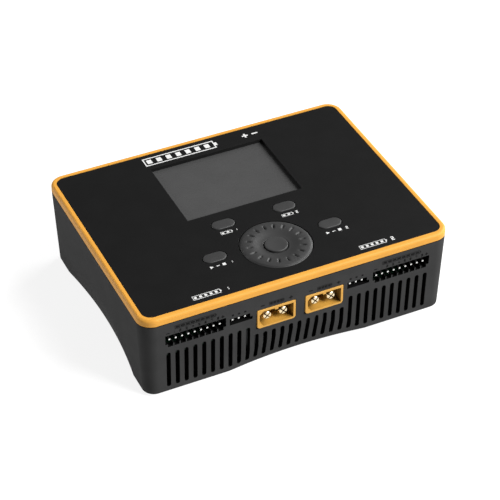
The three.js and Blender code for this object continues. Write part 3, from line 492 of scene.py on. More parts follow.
# Painted shade darkens the insides of the socket mouths
socket_plastic = moulded("socket_plastic", SOCKET_AMBER, 0.45, 0.4, 0.01, 0.2, mottle=0.03, painted_hollow_shade=(6, 0.4))
header_plastic = moulded("header_plastic", linear(8, 8, 8), 0.6, 0.3, 0.01, 0.05)
fan_plastic = moulded("fan_plastic", linear(16, 16, 16), 0.4, 0.4, 0.01, 0.4)
white_plastic = moulded("white_plastic", linear(175, 175, 172), 0.5, 0.4, 0.01, 0.4, mottle=0.02)
screen_glass = moulded("screen_glass", linear(54, 54, 54), 0.28, 2.5, 0.001, 0.4, mottle=0.03)
display_glass = moulded("display_glass", linear(36, 40, 42), 0.2, 2.0, 0.005)
board_green = moulded("board_green", linear(10, 36, 22), 0.4, 0.5, 0.02)
pad_rubber = moulded("pad_rubber", linear(128, 140, 152), 0.85, 0.4, 0.03, 0.2)
foot_rubber = moulded("foot_rubber", linear(18, 18, 18), 0.85, 0.3, 0.04, 0.2)
can_metal = moulded("can_metal", linear(44, 58, 86), 0.35, 0.4, 0.006, 0.5)
white_print = moulded("white_print", linear(172, 172, 171), 0.5, 0.2, 0.004, 0.3, mottle=0.03)
# Near-black painted shade for the insides of the slots and ports
painted_opening_shade = moulded("painted_opening_shade", linear(9, 9, 9), 0.7, 0.3, 0.01, 0.02)
dark_print = moulded("dark_print", linear(5, 5, 5), 0.5, 0.2, 0.004, 0.05, mottle=0.05)
plated_metal = metal("plated_metal", linear(225, 225, 222), 0.28, (1, 8, 1))
gold_plate = metal("gold_plate", linear(232, 214, 176), 0.25, (1, 8, 1))
steel = metal("steel", linear(160, 162, 165), 0.38, (1, 8, 1))
aluminium = metal("aluminium", linear(70, 71, 72), 0.42, (8, 1, 1))
copper = metal("copper", linear(190, 118, 66), 0.35, (1, 1, 10))

SLOT_MATERIALS = {
    "case_plastic": case_plastic,
    "trim_plastic": trim_plastic,
    "panel_plastic": panel_plastic,
    "key_plastic": key_plastic,
    "screen_glass": screen_glass,
    "display_glass": display_glass,
    "white_plastic": white_plastic,
    "board_green": board_green,
    "socket_plastic": socket_plastic,
    "header_plastic": header_plastic,
    "plated_metal": plated_metal,
    "gold_plate": gold_plate,
    "steel": steel,
    "aluminium": aluminium,
    "fan_plastic": fan_plastic,
    "copper": copper,
    "can_metal": can_metal,
    "pad_rubber": pad_rubber,
    "foot_rubber": foot_rubber,
}


def dress_cad_nodes():
    """Gives every CAD node that stays the material of its slot in the record."""
    for entry in frame["record"]["subparts"]:
        mesh = frame["nodes"][entry["node"]].data
        mesh.materials.clear()
        mesh.materials.append(SLOT_MATERIALS[entry["material_slot"]])


# ---------------------------------------------------------------- case

def scallop_sections(distance, top, offset, turn):
    """The two ends of a cutter that leans a shallow hollow into one wall."""
    deepest = (CASE_HEIGHT - top) * math.tan(SCALLOP_LEAN)
    half_span = math.sqrt(2 * SCALLOP_RADIUS * (deepest + 2 * WALL)) + WALL
    outside = -(deepest + 4 * WALL)
    steps = 96
    profile = [(-half_span, outside), (half_span, outside)]
    for i in range(steps + 1):
        x = half_span - 2 * half_span * i / steps
        profile.append((x, offset - x * x / (2 * SCALLOP_RADIUS)))
    apex_z = TOP_Z - top
    place = (
        Matrix.Rotation(turn, 4, "Z")
        @ Matrix.Translation((0, -(distance - draft_inset(apex_z)), apex_z))
        @ Matrix.Rotation(SCALLOP_LEAN + DRAFT, 4, "X")
    )
    return [
        [tuple(place @ Vector((x, y, w))) for x, y in profile]
        for w in (-CASE_HEIGHT, CASE_HEIGHT)
    ]


def scallop_cutters(offset):
    sides = [
        (HALF_DEPTH, END_SCALLOP_TOP, 0),
        (HALF_DEPTH, END_SCALLOP_TOP, math.pi),
        (HALF_LENGTH, SIDE_SCALLOP_TOP, math.pi / 2),
        (HALF_LENGTH, SIDE_SCALLOP_TOP, -math.pi / 2),
    ]
    cutters = []
    for distance, top, turn in sides:
        sections = scallop_sections(distance, top, offset, turn)
        cutters.append(solid("scallop", lambda bm, s=sections: loft(bm, s)))
    return cutters


FRONT_CUT = (-HALF_DEPTH - 1, -HALF_DEPTH + WALL + 4)
REAR_CUT = (HALF_DEPTH - WALL - 4, HALF_DEPTH + 1)


def through_wall(bm, outline, reach):
    loft(bm, [facing_front(outline, y) for y in reach])


def slot_outline(x, top, bottom):
    return stadium(x, TOP_Z - (top + bottom) / 2, SLOT_WIDTH, bottom - top)


def draw_slots(bm):
    total = INNER_SLOTS + 2 * OUTER_SLOTS
    for i in range(total):
        inner = OUTER_SLOTS <= i < OUTER_SLOTS + INNER_SLOTS
        x = (i - (total - 1) / 2) * SLOT_PITCH
        outline = slot_outline(x, INNER_SLOT_TOP if inner else OUTER_SLOT_TOP, SLOT_BOTTOM)
        through_wall(bm, outline, FRONT_CUT)
    for fan in ("fan_frame_left", "fan_frame_right"):
        for i in range(REAR_SLOTS):
            x = middle(fan).x + (i - (REAR_SLOTS - 1) / 2) * SLOT_PITCH
            through_wall(bm, slot_outline(x, REAR_SLOT_TOP, REAR_SLOT_BOTTOM), REAR_CUT)


def balance_outline(x):
    """Mouth of a balance port, with a comb of teeth along its lower edge."""
    half = BALANCE_PINS * PIN_PITCH / 2
    low = TOP_Z - BALANCE_BOTTOM
    outline = [(x - half - BALANCE_MARGIN, low)]
    for i in range(BALANCE_PINS):
        left = x - half + i * PIN_PITCH + TOOTH_WIDTH / 2
        right = left + PIN_PITCH - TOOTH_WIDTH
        bottom = TOP_Z - TOOTH_BOTTOM
        outline += [(left, low), (left, bottom), (right, bottom), (right, low)]
    outline.append((x + half + BALANCE_MARGIN, low))
    outline.append((x + half + BALANCE_MARGIN, TOP_Z - BALANCE_TOP))
    outline.append((x - half - BALANCE_MARGIN, TOP_Z - BALANCE_TOP))
    return outline


def data_outline(x):
    """Mouth of a data port, one upper corner filled to key the plug."""
    half = DATA_PINS * PIN_PITCH / 2 + DATA_MARGIN
    low, high = TOP_Z - DATA_BOTTOM, TOP_Z - DATA_TOP
    return [
        (x - half, low),
        (x + half, low),
        (x + half, high - DATA_NOTCH_HEIGHT),
        (x + half - DATA_NOTCH_WIDTH, high - DATA_NOTCH_HEIGHT),
        (x + half - DATA_NOTCH_WIDTH, high),
        (x - half, high),
    ]


def socket_outline(node):
    low, high = corners(node)
    gap = CLEARANCE / 2
    return rectangle(low.x - gap, high.x + gap, low.z - gap, high.z + gap)


def draw_ports(bm):
    for side in (1, 2):
        through_wall(bm, balance_outline(middle(f"balance_header_{side}").x), FRONT_CUT)
        through_wall(bm, data_outline(middle(f"data_header_{side}").x + DATA_SHIFT), FRONT_CUT)
        through_wall(bm, socket_outline(f"output_socket_{side}"), FRONT_CUT)
    through_wall(bm, socket_outline("input_socket"), REAR_CUT)


def draw_side_ports(bm):
    for node, below in (("usb_port", 2 * CLEARANCE), ("card_socket", CLEARANCE)):
        low, high = corners(node)
        outline = rectangle(low.y - CLEARANCE, high.y + CLEARANCE, low.z - below + SEAM, board_low.z)
        reach = (HALF_LENGTH - WALL - 4, HALF_LENGTH + 1)
        loft(bm, [[(x, y, z) for y, z in outline] for x in reach])


def pillar_places():
    return [middle(f"case_screw_{i}") for i in (1, 2, 3, 4)]


def draw_posts(bm, radius, low, high, sides=40):
    for place in pillar_places():
        loft(bm, [upright(circle(place.x, place.y, radius, sides), z) for z in (low, high)])


def draw_board_posts(bm):
    x = board_high.x - BOARD_POST_SIDE
    for y in (main_low.y + BOARD_POST_FRONT, main_high.y - BOARD_POST_REAR):
        for side in (-1, 1):
            outline = circle(side * x, y, POST_RADIUS)
            loft(bm, [upright(outline, z) for z in (FLOOR_Z - 1, main_low.z - SEAM)])


def draw_underside_recesses(bm):
    draw_posts(bm, SCREW_HEAD + CLEARANCE, BASE_Z - 1, BASE_Z + SCREW_RECESS)
    for i in (1, 2, 3, 4):
        low, high = corners(f"rubber_foot_{i}")
        radius = (high.x - low.x) / 2 + CLEARANCE
        centre = (low + high) / 2
        outline = circle(centre.x, centre.y, radius, 64)
        loft(bm, [upright(outline, z) for z in (BASE_Z - 1, BASE_Z + FOOT_RECESS)])


def draw_outer_walls(bm):
    sections = []
    steps = 4
    for i in range(steps + 1):
        angle = math.pi / 2 * i / steps
        z = BASE_Z + BOTTOM_ROUND * (1 - math.cos(angle))
        inset = draft_inset(BASE_Z) + BOTTOM_ROUND * (1 - math.sin(angle))
        sections.append(upright(case_outline(inset), z))
    shoulder = RIM_Z - SHADOW_GAP
    sections.append(upright(case_outline(draft_inset(shoulder)), shoulder))
    sections.append(upright(case_outline(SHADOW_GAP), shoulder))
    sections.append(upright(case_outline(SHADOW_GAP), RIM_Z))
    loft(bm, sections)


def draw_cavity(bm):
    loft(bm, [
        upright(case_outline(draft_inset(FLOOR_Z) + WALL), FLOOR_Z),
        upright(case_outline(WALL), RIM_Z),
        upright(case_outline(WALL), RIM_Z + 1),
    ])


def make_case():
    walls = solid("case_walls", draw_outer_walls)
    combine(walls, scallop_cutters(0), "DIFFERENCE")
    cavity = combine(solid("cavity", draw_cavity), scallop_cutters(WALL), "DIFFERENCE")
    combine(walls, [cavity], "DIFFERENCE")
    pillar_bottom = trim_low.z
    join(walls, lambda bm: draw_posts(bm, BOSS_RADIUS, FLOOR_Z - 1, pillar_bottom - SEAM))
    join(walls, draw_board_posts)
    cut(walls, lambda bm: draw_posts(bm, PILLAR_BORE, BASE_Z - 1, pillar_bottom + 1))
    cut(walls, draw_underside_recesses)
    cut(walls, draw_slots)
    cut(walls, draw_ports)
    cut(walls, draw_side_ports)
    finish(walls, case_plastic, "case", ["lower_housing"])
    # Painted shade: the insides of the openings get a near-black material
    line_openings(walls)


def line_openings(walls):
    """Paints shade on the cut walls of the slots and ports in the front and rear walls: a near-black
    material where their insides fall in shadow.
    """
    mesh = walls.data
    mesh.materials.append(painted_opening_shade)
    for face in mesh.polygons:
        centre = face.center / MM
        in_wall = abs(centre.y) > HALF_DEPTH - 2 * WALL and abs(centre.x) < HALF_LENGTH - CORNER
        between = BASE_Z + 1 < centre.z < RIM_Z - 1
        if in_wall and between and abs(face.normal.y) < 0.9:
            face.material_index = 1


def make_trim():
    sections = [upright(case_outline(0, 24), RIM_Z)]
    steps = 10
    for i in range(steps + 1):
        angle = math.pi / 2 * i / steps
        inset = TRIM_ROUND * (1 - math.cos(angle))
        z = TOP_Z - TRIM_ROUND * (1 - math.sin(angle))
        sections.append(upright(case_outline(inset, 24), z))
    tongue_outer = WALL + 2 * SEAM
    tongue_inner = tongue_outer + TONGUE_WIDTH
    seat = PANEL_BOTTOM - SEAM / 2
    for inset, z in (
        (TRIM_WIDTH, TOP_Z),
        (TRIM_WIDTH, seat),
        (tongue_inner, seat),
        (tongue_inner, RIM_Z - TONGUE_DEPTH),
        (tongue_outer, RIM_Z - TONGUE_DEPTH),
        (tongue_outer, RIM_Z),
    ):
        sections.append(upright(case_outline(inset, 24), z))
    trim = solid("trim_frame", lambda bm: loft(bm, sections, ring=True))
    gusset = HALF_LENGTH - abs(pillar_places()[0].x) - tongue_outer - 2 * SEAM
    join(trim, lambda bm: draw_posts(bm, gusset, RIM_Z - TONGUE_DEPTH, seat - SEAM))
    join(trim, lambda bm: draw_posts(bm, PILLAR_RADIUS, trim_low.z, RIM_Z))
    cut(trim, lambda bm: draw_posts(bm, PILLAR_BORE, trim_low.z - 1, trim_low.z + PILLAR_HOLE))
    finish(trim, trim_plastic, "case", ["trim_ring"])


KEY_NAMES = ["status_key_1", "status_key_2", "start_key_1", "start_key_2"]


def key_size(name):
    """Centre and plan size of a key's cap, its flange left off."""
    low, high = corners(name)
    centre = (low + high) / 2
    width = high.x - low.x - 2 * KEY_FLANGE
    height = high.y - low.y - 2 * KEY_FLANGE
    return centre, width, height


def draw_panel_holes(bm):
    low, high = PANEL_BOTTOM - 1, PANEL_TOP + 1
    window = rectangle(lens_low.x + 1, lens_high.x - 1, lens_low.y + 1, lens_high.y - 1)
    dial = middle("enter_key")
    outlines = [window, circle(0, dial.y, DIAL_RADIUS + CLEARANCE, 96)]
    for name in KEY_NAMES:
        centre, width, height = key_size(name)
        outlines.append(stadium(centre.x, centre.y, width + 2 * CLEARANCE, height + 2 * CLEARANCE))
    for outline in outlines:
        loft(bm, [upright(outline, z) for z in (low, high)])


def make_panel():
    inset = TRIM_WIDTH + SEAM
    sections = [
        upright(case_outline(inset), PANEL_BOTTOM),
        upright(case_outline(inset), PANEL_TOP - PANEL_EDGE),
        upright(case_outline(inset + PANEL_EDGE / 3), PANEL_TOP - PANEL_EDGE / 3),
        upright(case_outline(inset + PANEL_EDGE), PANEL_TOP),
    ]
    panel = solid("panel_plate", lambda bm: loft(bm, sections))
    cut(panel, draw_panel_holes)
    finish(panel, panel_plastic, "case", ["top_panel"])


# ---------------------------------------------------------------- keys and dial

def key_sections(name):
    """Sections of a key from its stem side up over its rounded edge to its crown."""
    centre, width, height = key_size(name)
    high = corners(name)[1]
    flange_high = PANEL_BOTTOM - CLEARANCE
    flange_low = flange_high - FLANGE_THICKNESS

    def section(growth, z):
        return upright(stadium(centre.x, centre.y, width + 2 * growth, height + 2 * growth, 16), z)

    sections = [
        section(KEY_FLANGE, flange_low),
        section(KEY_FLANGE, flange_high),
        section(0, flange_high),
    ]
    edge_top = high.z - KEY_CROWN
    steps = 6
    for i in range(steps + 1):
        angle = math.pi / 2 * i / steps
        growth = KEY_EDGE * (math.cos(angle) - 1)
        sections.append(section(growth, edge_top - KEY_EDGE * (1 - math.sin(angle))))
    for share in (0.35, 0.7, 0.92):
        growth = -KEY_EDGE - share * (height / 2 - KEY_EDGE)
        sections.append(section(growth, edge_top + KEY_CROWN * (1 - (1 - share) ** 2)))
    return sections


def make_keys():
    for name in KEY_NAMES:
        sections = key_sections(name)
        centre, _, _ = key_size(name)
        stem_low = corners(name)[0].z
        key = solid(f"{name}_cap", lambda bm, s=sections: loft(bm, s))
        stem = circle(centre.x, centre.y, KEY_STEM_RADIUS)
        join(key, lambda bm, s=stem, z=stem_low: loft(bm, [upright(s, z), upright(s, z + 1)]))
        body = name.replace("_key", "")
        finish(key, key_plastic, body, [name], sharp=50)


def dial_height(radius, angle, z):
    """Finger grips: soft grooves across the crest."""
    if z < PANEL_BOTTOM:
        return 0
    spacing = 2 * math.pi / DIAL_GRIPS
    off = (angle - math.pi / 2 + spacing / 2) % spacing - spacing / 2
    across = abs(off) * radius / GRIP_WIDTH
    along = abs(radius - DIAL_CREST_RADIUS) / GRIP_LENGTH
    if across > 2.2 or along > 1.6:
        return 0
    return -GRIP_DEPTH * math.exp(-across * across) * math.exp(-along ** 4)


def dial_profile():
    """Over the dial from its hub bore, up the dish, over the crest, down the rim and back below."""
    low, high = corners("dial_ring")
    crest = high.z
    rim_z = PANEL_TOP - DIAL_RIM_DROP
    dish_z = PANEL_TOP - DIAL_DISH_DROP
    bore = ENTER_RADIUS + CLEARANCE
    hub_bore = ENTER_RADIUS + ENTER_FLANGE + CLEARANCE
    hub = hub_bore + DIAL_HUB_WALL
    flange_high = PANEL_BOTTOM - CLEARANCE
    flange_low = flange_high - FLANGE_THICKNESS
    flange = (high.x - low.x) / 2
    profile = [(hub, low.z), (hub_bore, low.z), (hub_bore, PANEL_BOTTOM), (bore, PANEL_BOTTOM)]
    profile.append((bore, dish_z - 0.1))
    steps = 14
    for i in range(steps + 1):
        share = i / steps
        radius = bore + DIAL_BORE_EDGE + (DIAL_CREST_RADIUS - bore - DIAL_BORE_EDGE) * share
        profile.append((radius, dish_z + (crest - dish_z) * math.sin(share * math.pi / 2) ** 2))
    edge = DIAL_RIM_EDGE
    run = DIAL_RADIUS - edge - DIAL_CREST_RADIUS
    for i in range(1, steps + 1):
        angle = math.pi / 2 * (1 - i / steps)
        radius = DIAL_CREST_RADIUS + run * math.cos(angle)
        profile.append((radius, rim_z + edge + (crest - rim_z - edge) * math.sin(angle)))
    for i in range(1, 5):
        angle = math.pi / 2 * i / 4
        profile.append((DIAL_RADIUS - edge + edge * math.sin(angle), rim_z + edge * math.cos(angle)))
    profile += [(DIAL_RADIUS, flange_high), (flange, flange_high), (flange, flange_low), (hub, flange_low)]
    return profile


def make_dial():
    centre = middle("enter_key")
    dial = solid("dial_wheel", lambda bm: revolve(bm, dial_profile(), 0, centre.y, 240, dial_height))
    finish(dial, dial_plastic, "dial", ["dial_ring"], sharp=50)
    low, high = corners("enter_key")
    flange = ENTER_RADIUS + ENTER_FLANGE
    flange_high = PANEL_BOTTOM - CLEARANCE
    flange_low = flange_high - FLANGE_THICKNESS
    profile = [
        (0, low.z),
        (ENTER_STEM_RADIUS, low.z),
        (ENTER_STEM_RADIUS, flange_low),
        (flange, flange_low),
        (flange, flange_high),
        (ENTER_RADIUS, flange_high),
    ]
    edge = ENTER_EDGE
    for i in range(7):
        angle = math.pi / 2 * i / 6
        profile.append((
            ENTER_RADIUS - edge + edge * math.cos(angle),
            high.z - edge + edge * math.sin(angle),
        ))
    for share in (0.75, 0.5, 0.25):
        profile.append(((ENTER_RADIUS - edge) * share, high.z - ENTER_DISH * (1 - share * share)))
    profile.append((0, high.z - ENTER_DISH))
    enter = solid("enter_button", lambda bm: revolve(bm, profile, 0, centre.y, 96))
    finish(enter, key_plastic, "enter", ["enter_key"], sharp=50)


# ---------------------------------------------------------------- power sockets

def shell_sections(low, high, front, rear, toward):
    """Outside of a socket's shell, its front edges rounded."""
    edge = SHELL_EDGE
    steps = 4
    sections = []
    for i in range(steps + 1):
        angle = math.pi / 2 * i / steps
        inset = edge * (1 - math.sin(angle))
        y = front - toward * edge * (1 - math.cos(angle))
        radii = [SHELL_LOW_CORNER - inset] * 2 + [SHELL_HIGH_CORNER - inset] * 2
        outline = rounded(low.x + inset, high.x - inset, low.z + inset, high.z - inset, radii)
        sections.append(facing_front(outline, y))
    radii = [SHELL_LOW_CORNER] * 2 + [SHELL_HIGH_CORNER] * 2
    outline = rounded(low.x, high.x, low.z, high.z, radii)
    sections.append(facing_front(outline, rear))
    return sections


def mouth_outline(low, high, rim, chamfer, mirror):
    """The hollow's outline: two corners cut off and a key hanging from the top."""
    left, right = low.x + rim, high.x - rim
    bottom, top = low.z + rim, high.z - rim
    centre = (left + right) / 2
    outline = [
        (left + chamfer, bottom),
        (right, bottom),
        (right, top),
        (centre + MOUTH_KEY_HALF, top),
        (centre + MOUTH_KEY_HALF, top - MOUTH_KEY_DROP),
        (centre - MOUTH_KEY_HALF, top - MOUTH_KEY_DROP),
        (centre - MOUTH_KEY_HALF, top),
        (left + chamfer, top),
        (left, top - chamfer),
        (left, bottom + chamfer),
    ]
    if mirror:
        outline = [(left + right - x, z) for x, z in reversed(outline)]
    return outline


def make_socket(name, node, rim, cavity, chamfer, pins, pin_radius):
    low, high = corners(node)
    toward = -1 if low.y < 0 else 1
    front, rear = (low.y, high.y) if toward < 0 else (high.y, low.y)
    shell = solid(name, lambda bm: loft(bm, shell_sections(low, high, front, rear, toward)))
    outline = mouth_outline(low, high, rim, chamfer, toward > 0)
    reach = [front + toward, front - toward * cavity]
    cut(shell, lambda bm: loft(bm, [facing_front(outline, y) for y in reach]))
    centre_z = (low.z + high.z) / 2

    def draw_bores(bm):
        for pin in pins:
            bore = circle(middle(pin).x, centre_z, pin_radius + CLEARANCE / 2, 32)
            loft(bm, [facing_front(bore, y) for y in (front, rear - toward)])

    cut(shell, draw_bores)
    finish(shell, socket_plastic, "case", [node])


def draw_pin(bm, x, z, tip, rear, radius, toward):
    """A round contact with a rounded tip."""
    sections = []
    edge = PIN_TIP_EDGE
    steps = 5
    for i in range(steps + 1):
        angle = math.pi / 2 * i / steps
        ring = radius - edge * (1 - math.sin(angle))
        y = tip - toward * edge * (1 - math.cos(angle))
        sections.append(facing_front(circle(x, z, ring), y))
    sections.append(facing_front(circle(x, z, radius), rear))
    loft(bm, sections)


def draw_split(bm, x, z, tip, radius, turn):
    """One blade of the crosswise split in a contact's tip."""
    half = SPLIT_HALF_WIDTH
    reach = 2 * radius
    along = (math.cos(turn), math.sin(turn))
    across = (-along[1], along[0])
    outline = []
    for a, b in ((-reach, -half), (reach, -half), (reach, half), (-reach, half)):
        outline.append((x + a * along[0] + b * across[0], z + a * along[1] + b * across[1]))
    loft(bm, [facing_front(outline, y) for y in (tip - SPLIT_DEPTH, tip + SPLIT_DEPTH)])


def make_pin(node, radius):
    low, high = corners(node)
    toward = -1 if low.y < 0 else 1
    tip, rear = (low.y, high.y) if toward < 0 else (high.y, low.y)
    x = (low.x + high.x) / 2
    z = high.z - radius
    pin = solid(f"{node}_contact", lambda bm: draw_pin(bm, x, z, tip, rear, radius, toward))
    leg = circle(x, rear + toward * PIN_LEG_REACH, PIN_LEG_RADIUS, 24)
    join(pin, lambda bm: loft(bm, [upright(leg, level) for level in (low.z, z)]))
    for turn in (math.pi / 4, -math.pi / 4):
        cut(pin, lambda bm, t=turn: draw_split(bm, x, z, tip, radius, t))
    finish(pin, gold_plate, "case", [node])


def make_power_sockets():
    for number in (1, 2):
        pins = [f"output_pin_{number}_left", f"output_pin_{number}_right"]
        make_socket(
            f"output_shell_{number}", f"output_socket_{number}",
            OUTPUT_RIM, OUTPUT_CAVITY, OUTPUT_CHAMFER, pins, OUTPUT_PIN_RADIUS,
        )
        for pin in pins:
            make_pin(pin, OUTPUT_PIN_RADIUS)
    pins = ["input_pin_left", "input_pin_right"]
    make_socket(
        "input_shell", "input_socket",
        INPUT_RIM, INPUT_CAVITY, INPUT_CHAMFER, pins, INPUT_PIN_RADIUS,
    )
    for pin in pins:
        make_pin(pin, INPUT_PIN_RADIUS)


# ---------------------------------------------------------------- screws and feet

def draw_cross_arm(bm, place, z, half_length, half_width):
    """One arm of the cross recess in a screw's head."""
    outline = rectangle(
        place.x - half_length, place.x + half_length,
        place.y - half_width, place.y + half_width,
    )
    loft(bm, [upright(outline, level) for level in (z - 1, z + CROSS_DEPTH)])


def make_screws():
    arms = [(CROSS_LENGTH, CROSS_WIDTH), (CROSS_WIDTH, CROSS_LENGTH)]
    for i, place in enumerate(pillar_places(), 1):
        low, high = corners(f"case_screw_{i}")
        head_top = BASE_Z + SCREW_RECESS - SEAM / 2
        edge = SCREW_EDGE
        profile = [
            (0, high.z),
            (SCREW_SHANK, high.z - SCREW_POINT),
            (SCREW_SHANK, head_top),
            (SCREW_HEAD, head_top),
        ]
        for step in range(6):
            angle = math.pi / 2 * step / 5
            profile.append((
                SCREW_HEAD - edge * (1 - math.cos(angle)),
                low.z + edge * (1 - math.sin(angle)),
            ))
        profile.append((0, low.z))
        screw = solid(f"screw_{i}", lambda bm, p=profile, c=place: revolve(bm, p, c.x, c.y, 48))
        for x, y in arms:
            cut(screw, lambda bm, x=x, y=y, c=place, z=low.z: draw_cross_arm(bm, c, z, x, y))
        finish(screw, steel, "case", [f"case_screw_{i}"])


def make_feet():
    for i in (1, 2, 3, 4):
        low, high = corners(f"rubber_foot_{i}")
        centre = (low + high) / 2
        radius = (high.x - low.x) / 2
        edge = FOOT_EDGE
        profile = [(0, 0), (radius * 0.6, 0)]
        for step in range(6):
            angle = math.pi / 2 * step / 5
            profile.append((radius - edge + edge * math.sin(angle), edge * (1 - math.cos(angle))))
        profile += [(radius, high.z), (0, high.z)]
        foot = solid(f"foot_{i}", lambda bm, p=profile, c=centre: revolve(bm, p, c.x, c.y, 64))
        finish(foot, foot_rubber, "case", [f"rubber_foot_{i}"])


# ---------------------------------------------------------------- printed marks

PRINT_SINK = 0.06
PRINT_RISE = 0.03

# Which of a digit's seven strokes are drawn: top, upper right, lower right, bottom, lower left,
# upper left, middle
DIGIT_STROKES = {
    "1": (1, 2),
    "2": (0, 1, 6, 4, 3),
    "3": (0, 1, 6, 2, 3),
    "4": (5, 6, 1, 2),
    "5": (0, 5, 6, 2, 3),
    "6": (0, 5, 4, 3, 2, 6),
    "7": (0, 1, 2),
    "8": (0, 1, 2, 3, 4, 5, 6),
}


def digit(character, x, y, height, weight=0.19):
    """A digit drawn with straight strokes, weight its strokes' share of its height."""
    half = height * 0.28
    stroke = height * weight
    gap = height * 0.01
    top, low = y + height / 2, y - height / 2
    bars = [
        rectangle(x - half, x + half, top - stroke, top),
        rectangle(x + half - stroke, x + half, y + stroke / 2 + gap, top - stroke - gap),
        rectangle(x + half - stroke, x + half, low + stroke + gap, y - stroke / 2 - gap),
        rectangle(x - half, x + half, low, low + stroke),
        rectangle(x - half, x - half + stroke, low + stroke + gap, y - stroke / 2 - gap),
        rectangle(x - half, x - half + stroke, y + stroke / 2 + gap, top - stroke - gap),
        rectangle(x - half, x + half, y - stroke / 2, y + stroke / 2),
    ]
    return [bars[i] for i in DIGIT_STROKES[character]]


def minus(x, y, size):
    stroke = size * 0.28
    return [rectangle(x - size / 2, x + size / 2, y - stroke / 2, y + stroke / 2)]


def plus(x, y, size):
    half, stroke = size / 2, size * 0.14
    return [[
        (x - stroke, y - half), (x + stroke, y - half), (x + stroke, y - stroke), (x + half, y - stroke),
        (x + half, y + stroke), (x + stroke, y + stroke), (x + stroke, y + half), (x - stroke, y + half),
        (x - stroke, y + stroke), (x - half, y + stroke), (x - half, y - stroke), (x - stroke, y - stroke),
    ]]


def play(x, y, size):
    return [[(x - size * 0.4, y - size / 2), (x + size * 0.5, y), (x - size * 0.4, y + size / 2)]]


def stop(x, y, size):
    return [rectangle(x - size / 2, x + size / 2, y - size / 2, y + size / 2)]


def battery(x, y, width, height, cells, fill=0.5):
    """A battery's outline with its terminal and its charged cells, fill their share of the pitch."""
    line = height * 0.1
    left, right = x - width / 2, x + width / 2 - 2 * line
    low, high = y - height / 2, y + height / 2
    shapes = [
        rectangle(left, right, low, low + line),
        rectangle(left, right, high - line, high),
        rectangle(left, left + line, low + line, high - line),
        rectangle(right - line, right, low + line, high - line),
        rectangle(right, right + 2 * line, y - height * 0.18, y + height * 0.18),
    ]
    pitch = (right - left - 3 * line) / cells
    for i in range(cells):
        start = left + 2.5 * line + i * pitch
        shapes.append(rectangle(start, start + pitch * fill, low + 2.5 * line, high - 2.5 * line))
    return shapes


def on_panel(x, y, rise):
    return (x, y, PANEL_TOP + rise)


def on_front(x, z, rise):
    return (x, -(HALF_DEPTH - draft_inset(z)) - rise, z)


def print_marks(name, outlines, place, material):
    """Thin printed shapes that follow a surface."""
    def draw(bm):
        for outline in outlines:
            loft(bm, [[place(u, v, rise) for u, v in outline] for rise in (-PRINT_SINK, PRINT_RISE)])
    finish(solid(name, draw), material, "case")


def make_panel_marks():
    marks = battery(-9.1, 41.2, 31.6, 5.0, 7)
    marks += plus(19.1, 41.2, 2.6) + minus(23.4, 41.2, 2.6)
    for side in (-1, 1):
        number = "1" if side < 0 else "2"
        status = middle("status_key_1")
        marks += battery(side * 12.8 - 0.9, status.y - 5.2, 4.8, 1.6, 2)
        marks += digit(number, side * 12.8 + 3.0, status.y - 5.2, 1.5)
        start = middle("start_key_1")
        centre = side * abs(start.x)
        marks += play(centre - 3.4, start.y - 5.1, 1.5)
        marks += minus(centre - 0.9, start.y - 5.1, 1.3)
        marks += stop(centre + 1.6, start.y - 5.1, 1.3)
        marks += digit(number, centre + 4.6, start.y - 5.1, 1.5)
        marks += battery(side * 34.1 - 1.2, -42.65, 11.4, 2.2, 5)
        marks += digit(number, side * 34.1 + 6.9, -42.65, 2.1)
    print_marks("panel_marks", marks, on_panel, white_print)


def make_front_marks():
    marks = []
    row_z = TOP_Z - 7.9
    for side in (1, 2):
        centre = middle(f"balance_header_{side}").x
        size = 1.3
        first = centre - BALANCE_PINS * PIN_PITCH / 2
        marks += minus(first + 0.3, row_z, size)
        for i in range(1, 9):
            marks += digit(str(i), first + i * PIN_PITCH + 0.15, row_z, size, 0.24)
        marks += plus(first + 9 * PIN_PITCH - 0.5, row_z, size)
        marks += battery(centre, TOP_Z - 5.9, 16.5, 1.7, 8, 0.8)
        socket = middle(f"output_socket_{side}").x
        marks += minus(socket - 5.6, TOP_Z - 8.6, 1.5)
        marks += plus(socket + 5.9, TOP_Z - 8.6, 1.5)
        marks += battery(socket + 0.1, TOP_Z - 8.6, 6.2, 1.6, 4, 0.8)
        data = middle(f"data_header_{side}").x
        for i in (-1, 0, 1):
            marks += stop(data + i * PIN_PITCH - 0.4, TOP_Z - 8.8, 0.8)
    print_marks("front_marks", marks, on_front, dark_print)


# ---------------------------------------------------------------- stage

# The floor lies a hair under the feet, so that the two faces never share a plane
FLOOR_LEVEL = -0.05
FLOOR_RADIUS = 4000


def make_floor():
    outline = upright(circle(0, 0, FLOOR_RADIUS, 96), FLOOR_LEVEL)
    floor = solid("floor", lambda bm: bm.faces.new([bm.verts.new(point) for point in outline]))
    paper = Shader("light_table", 0.8, 0.1)
    paper.colour(paper.noise(40), (0.2, 0.2, 0.2), (0.22, 0.22, 0.22))
    paper.surface.inputs["Emission Color"].default_value = (1, 1, 1, 1)
    paper.surface.inputs["Emission Strength"].default_value = 0.84
    floor.data.materials.append(paper.material)


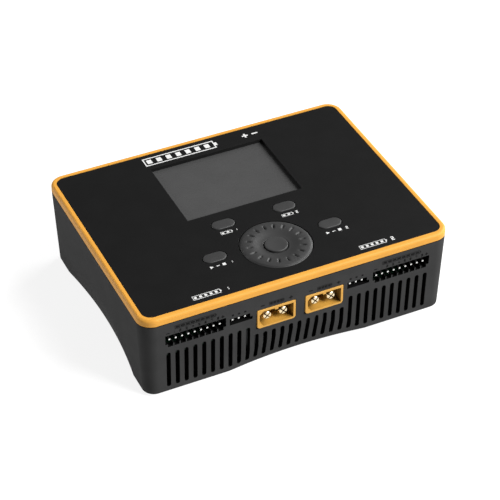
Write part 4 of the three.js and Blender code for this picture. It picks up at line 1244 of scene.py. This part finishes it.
def soft_light(name, direction, distance, size, energy):
    """A square soft box that shines on the object from a direction."""
    data = bpy.data.lights.new(name, "AREA")
    data.size = size
    data.energy = energy
    lamp = bpy.data.objects.new(name, data)
    lamp.location = Vector(direction).normalized() * distance
    lamp.rotation_euler = (-lamp.location).to_track_quat("-Z", "Y").to_euler()
    bpy.context.scene.collection.objects.link(lamp)


def make_light():
    world = bpy.data.worlds.new("studio")
    world.use_nodes = True
    sky = world.node_tree.nodes["Background"]
    sky.inputs["Color"].default_value = (1, 1, 1, 1)
    sky.inputs["Strength"].default_value = 0.12
    bpy.context.scene.world = world
    soft_light("key_light", (0.7, -0.68, 0.8), 3, 1.6, 250)
    soft_light("left_light", (-0.75, 0.6, 0.2), 3, 1.6, 75)
    soft_light("right_light", (1.0, 0.3, 0.45), 3, 1.6, 120)


# The camera's place from the middle of the top, in metres, and its right and up directions
CAMERA_PLACE = Vector((-0.23916, -0.51239, 0.4334))
CAMERA_RIGHT = Vector((0.90429, -0.42691, -0.00157))
CAMERA_UP = Vector((0.26913, 0.56722, 0.77835))
CAMERA_LENS = 133.44
SENSOR_WIDTH = 36


def make_camera():
    """The camera stands off the middle of the top, looking down on the front and the left."""
    data = bpy.data.cameras.new("camera")
    data.sensor_width = SENSOR_WIDTH
    data.lens = CAMERA_LENS
    data.clip_end = 20
    camera = bpy.data.objects.new("camera", data)
    backward = CAMERA_RIGHT.cross(CAMERA_UP).normalized()
    up = backward.cross(CAMERA_RIGHT).normalized()
    turn = Matrix((CAMERA_RIGHT.normalized(), up, backward)).transposed().to_4x4()
    place = CAMERA_PLACE + Vector((0, 0, TOP_Z * MM))
    camera.matrix_world = Matrix.Translation(place) @ turn
    bpy.context.scene.collection.objects.link(camera)
    bpy.context.scene.camera = camera


dress_cad_nodes()
make_case()
make_trim()
make_panel()
make_keys()
make_dial()
make_power_sockets()
make_screws()
make_feet()
make_panel_marks()
make_front_marks()
make_floor()
make_light()
make_camera()
bpy.context.scene.view_settings.view_transform = "Standard"
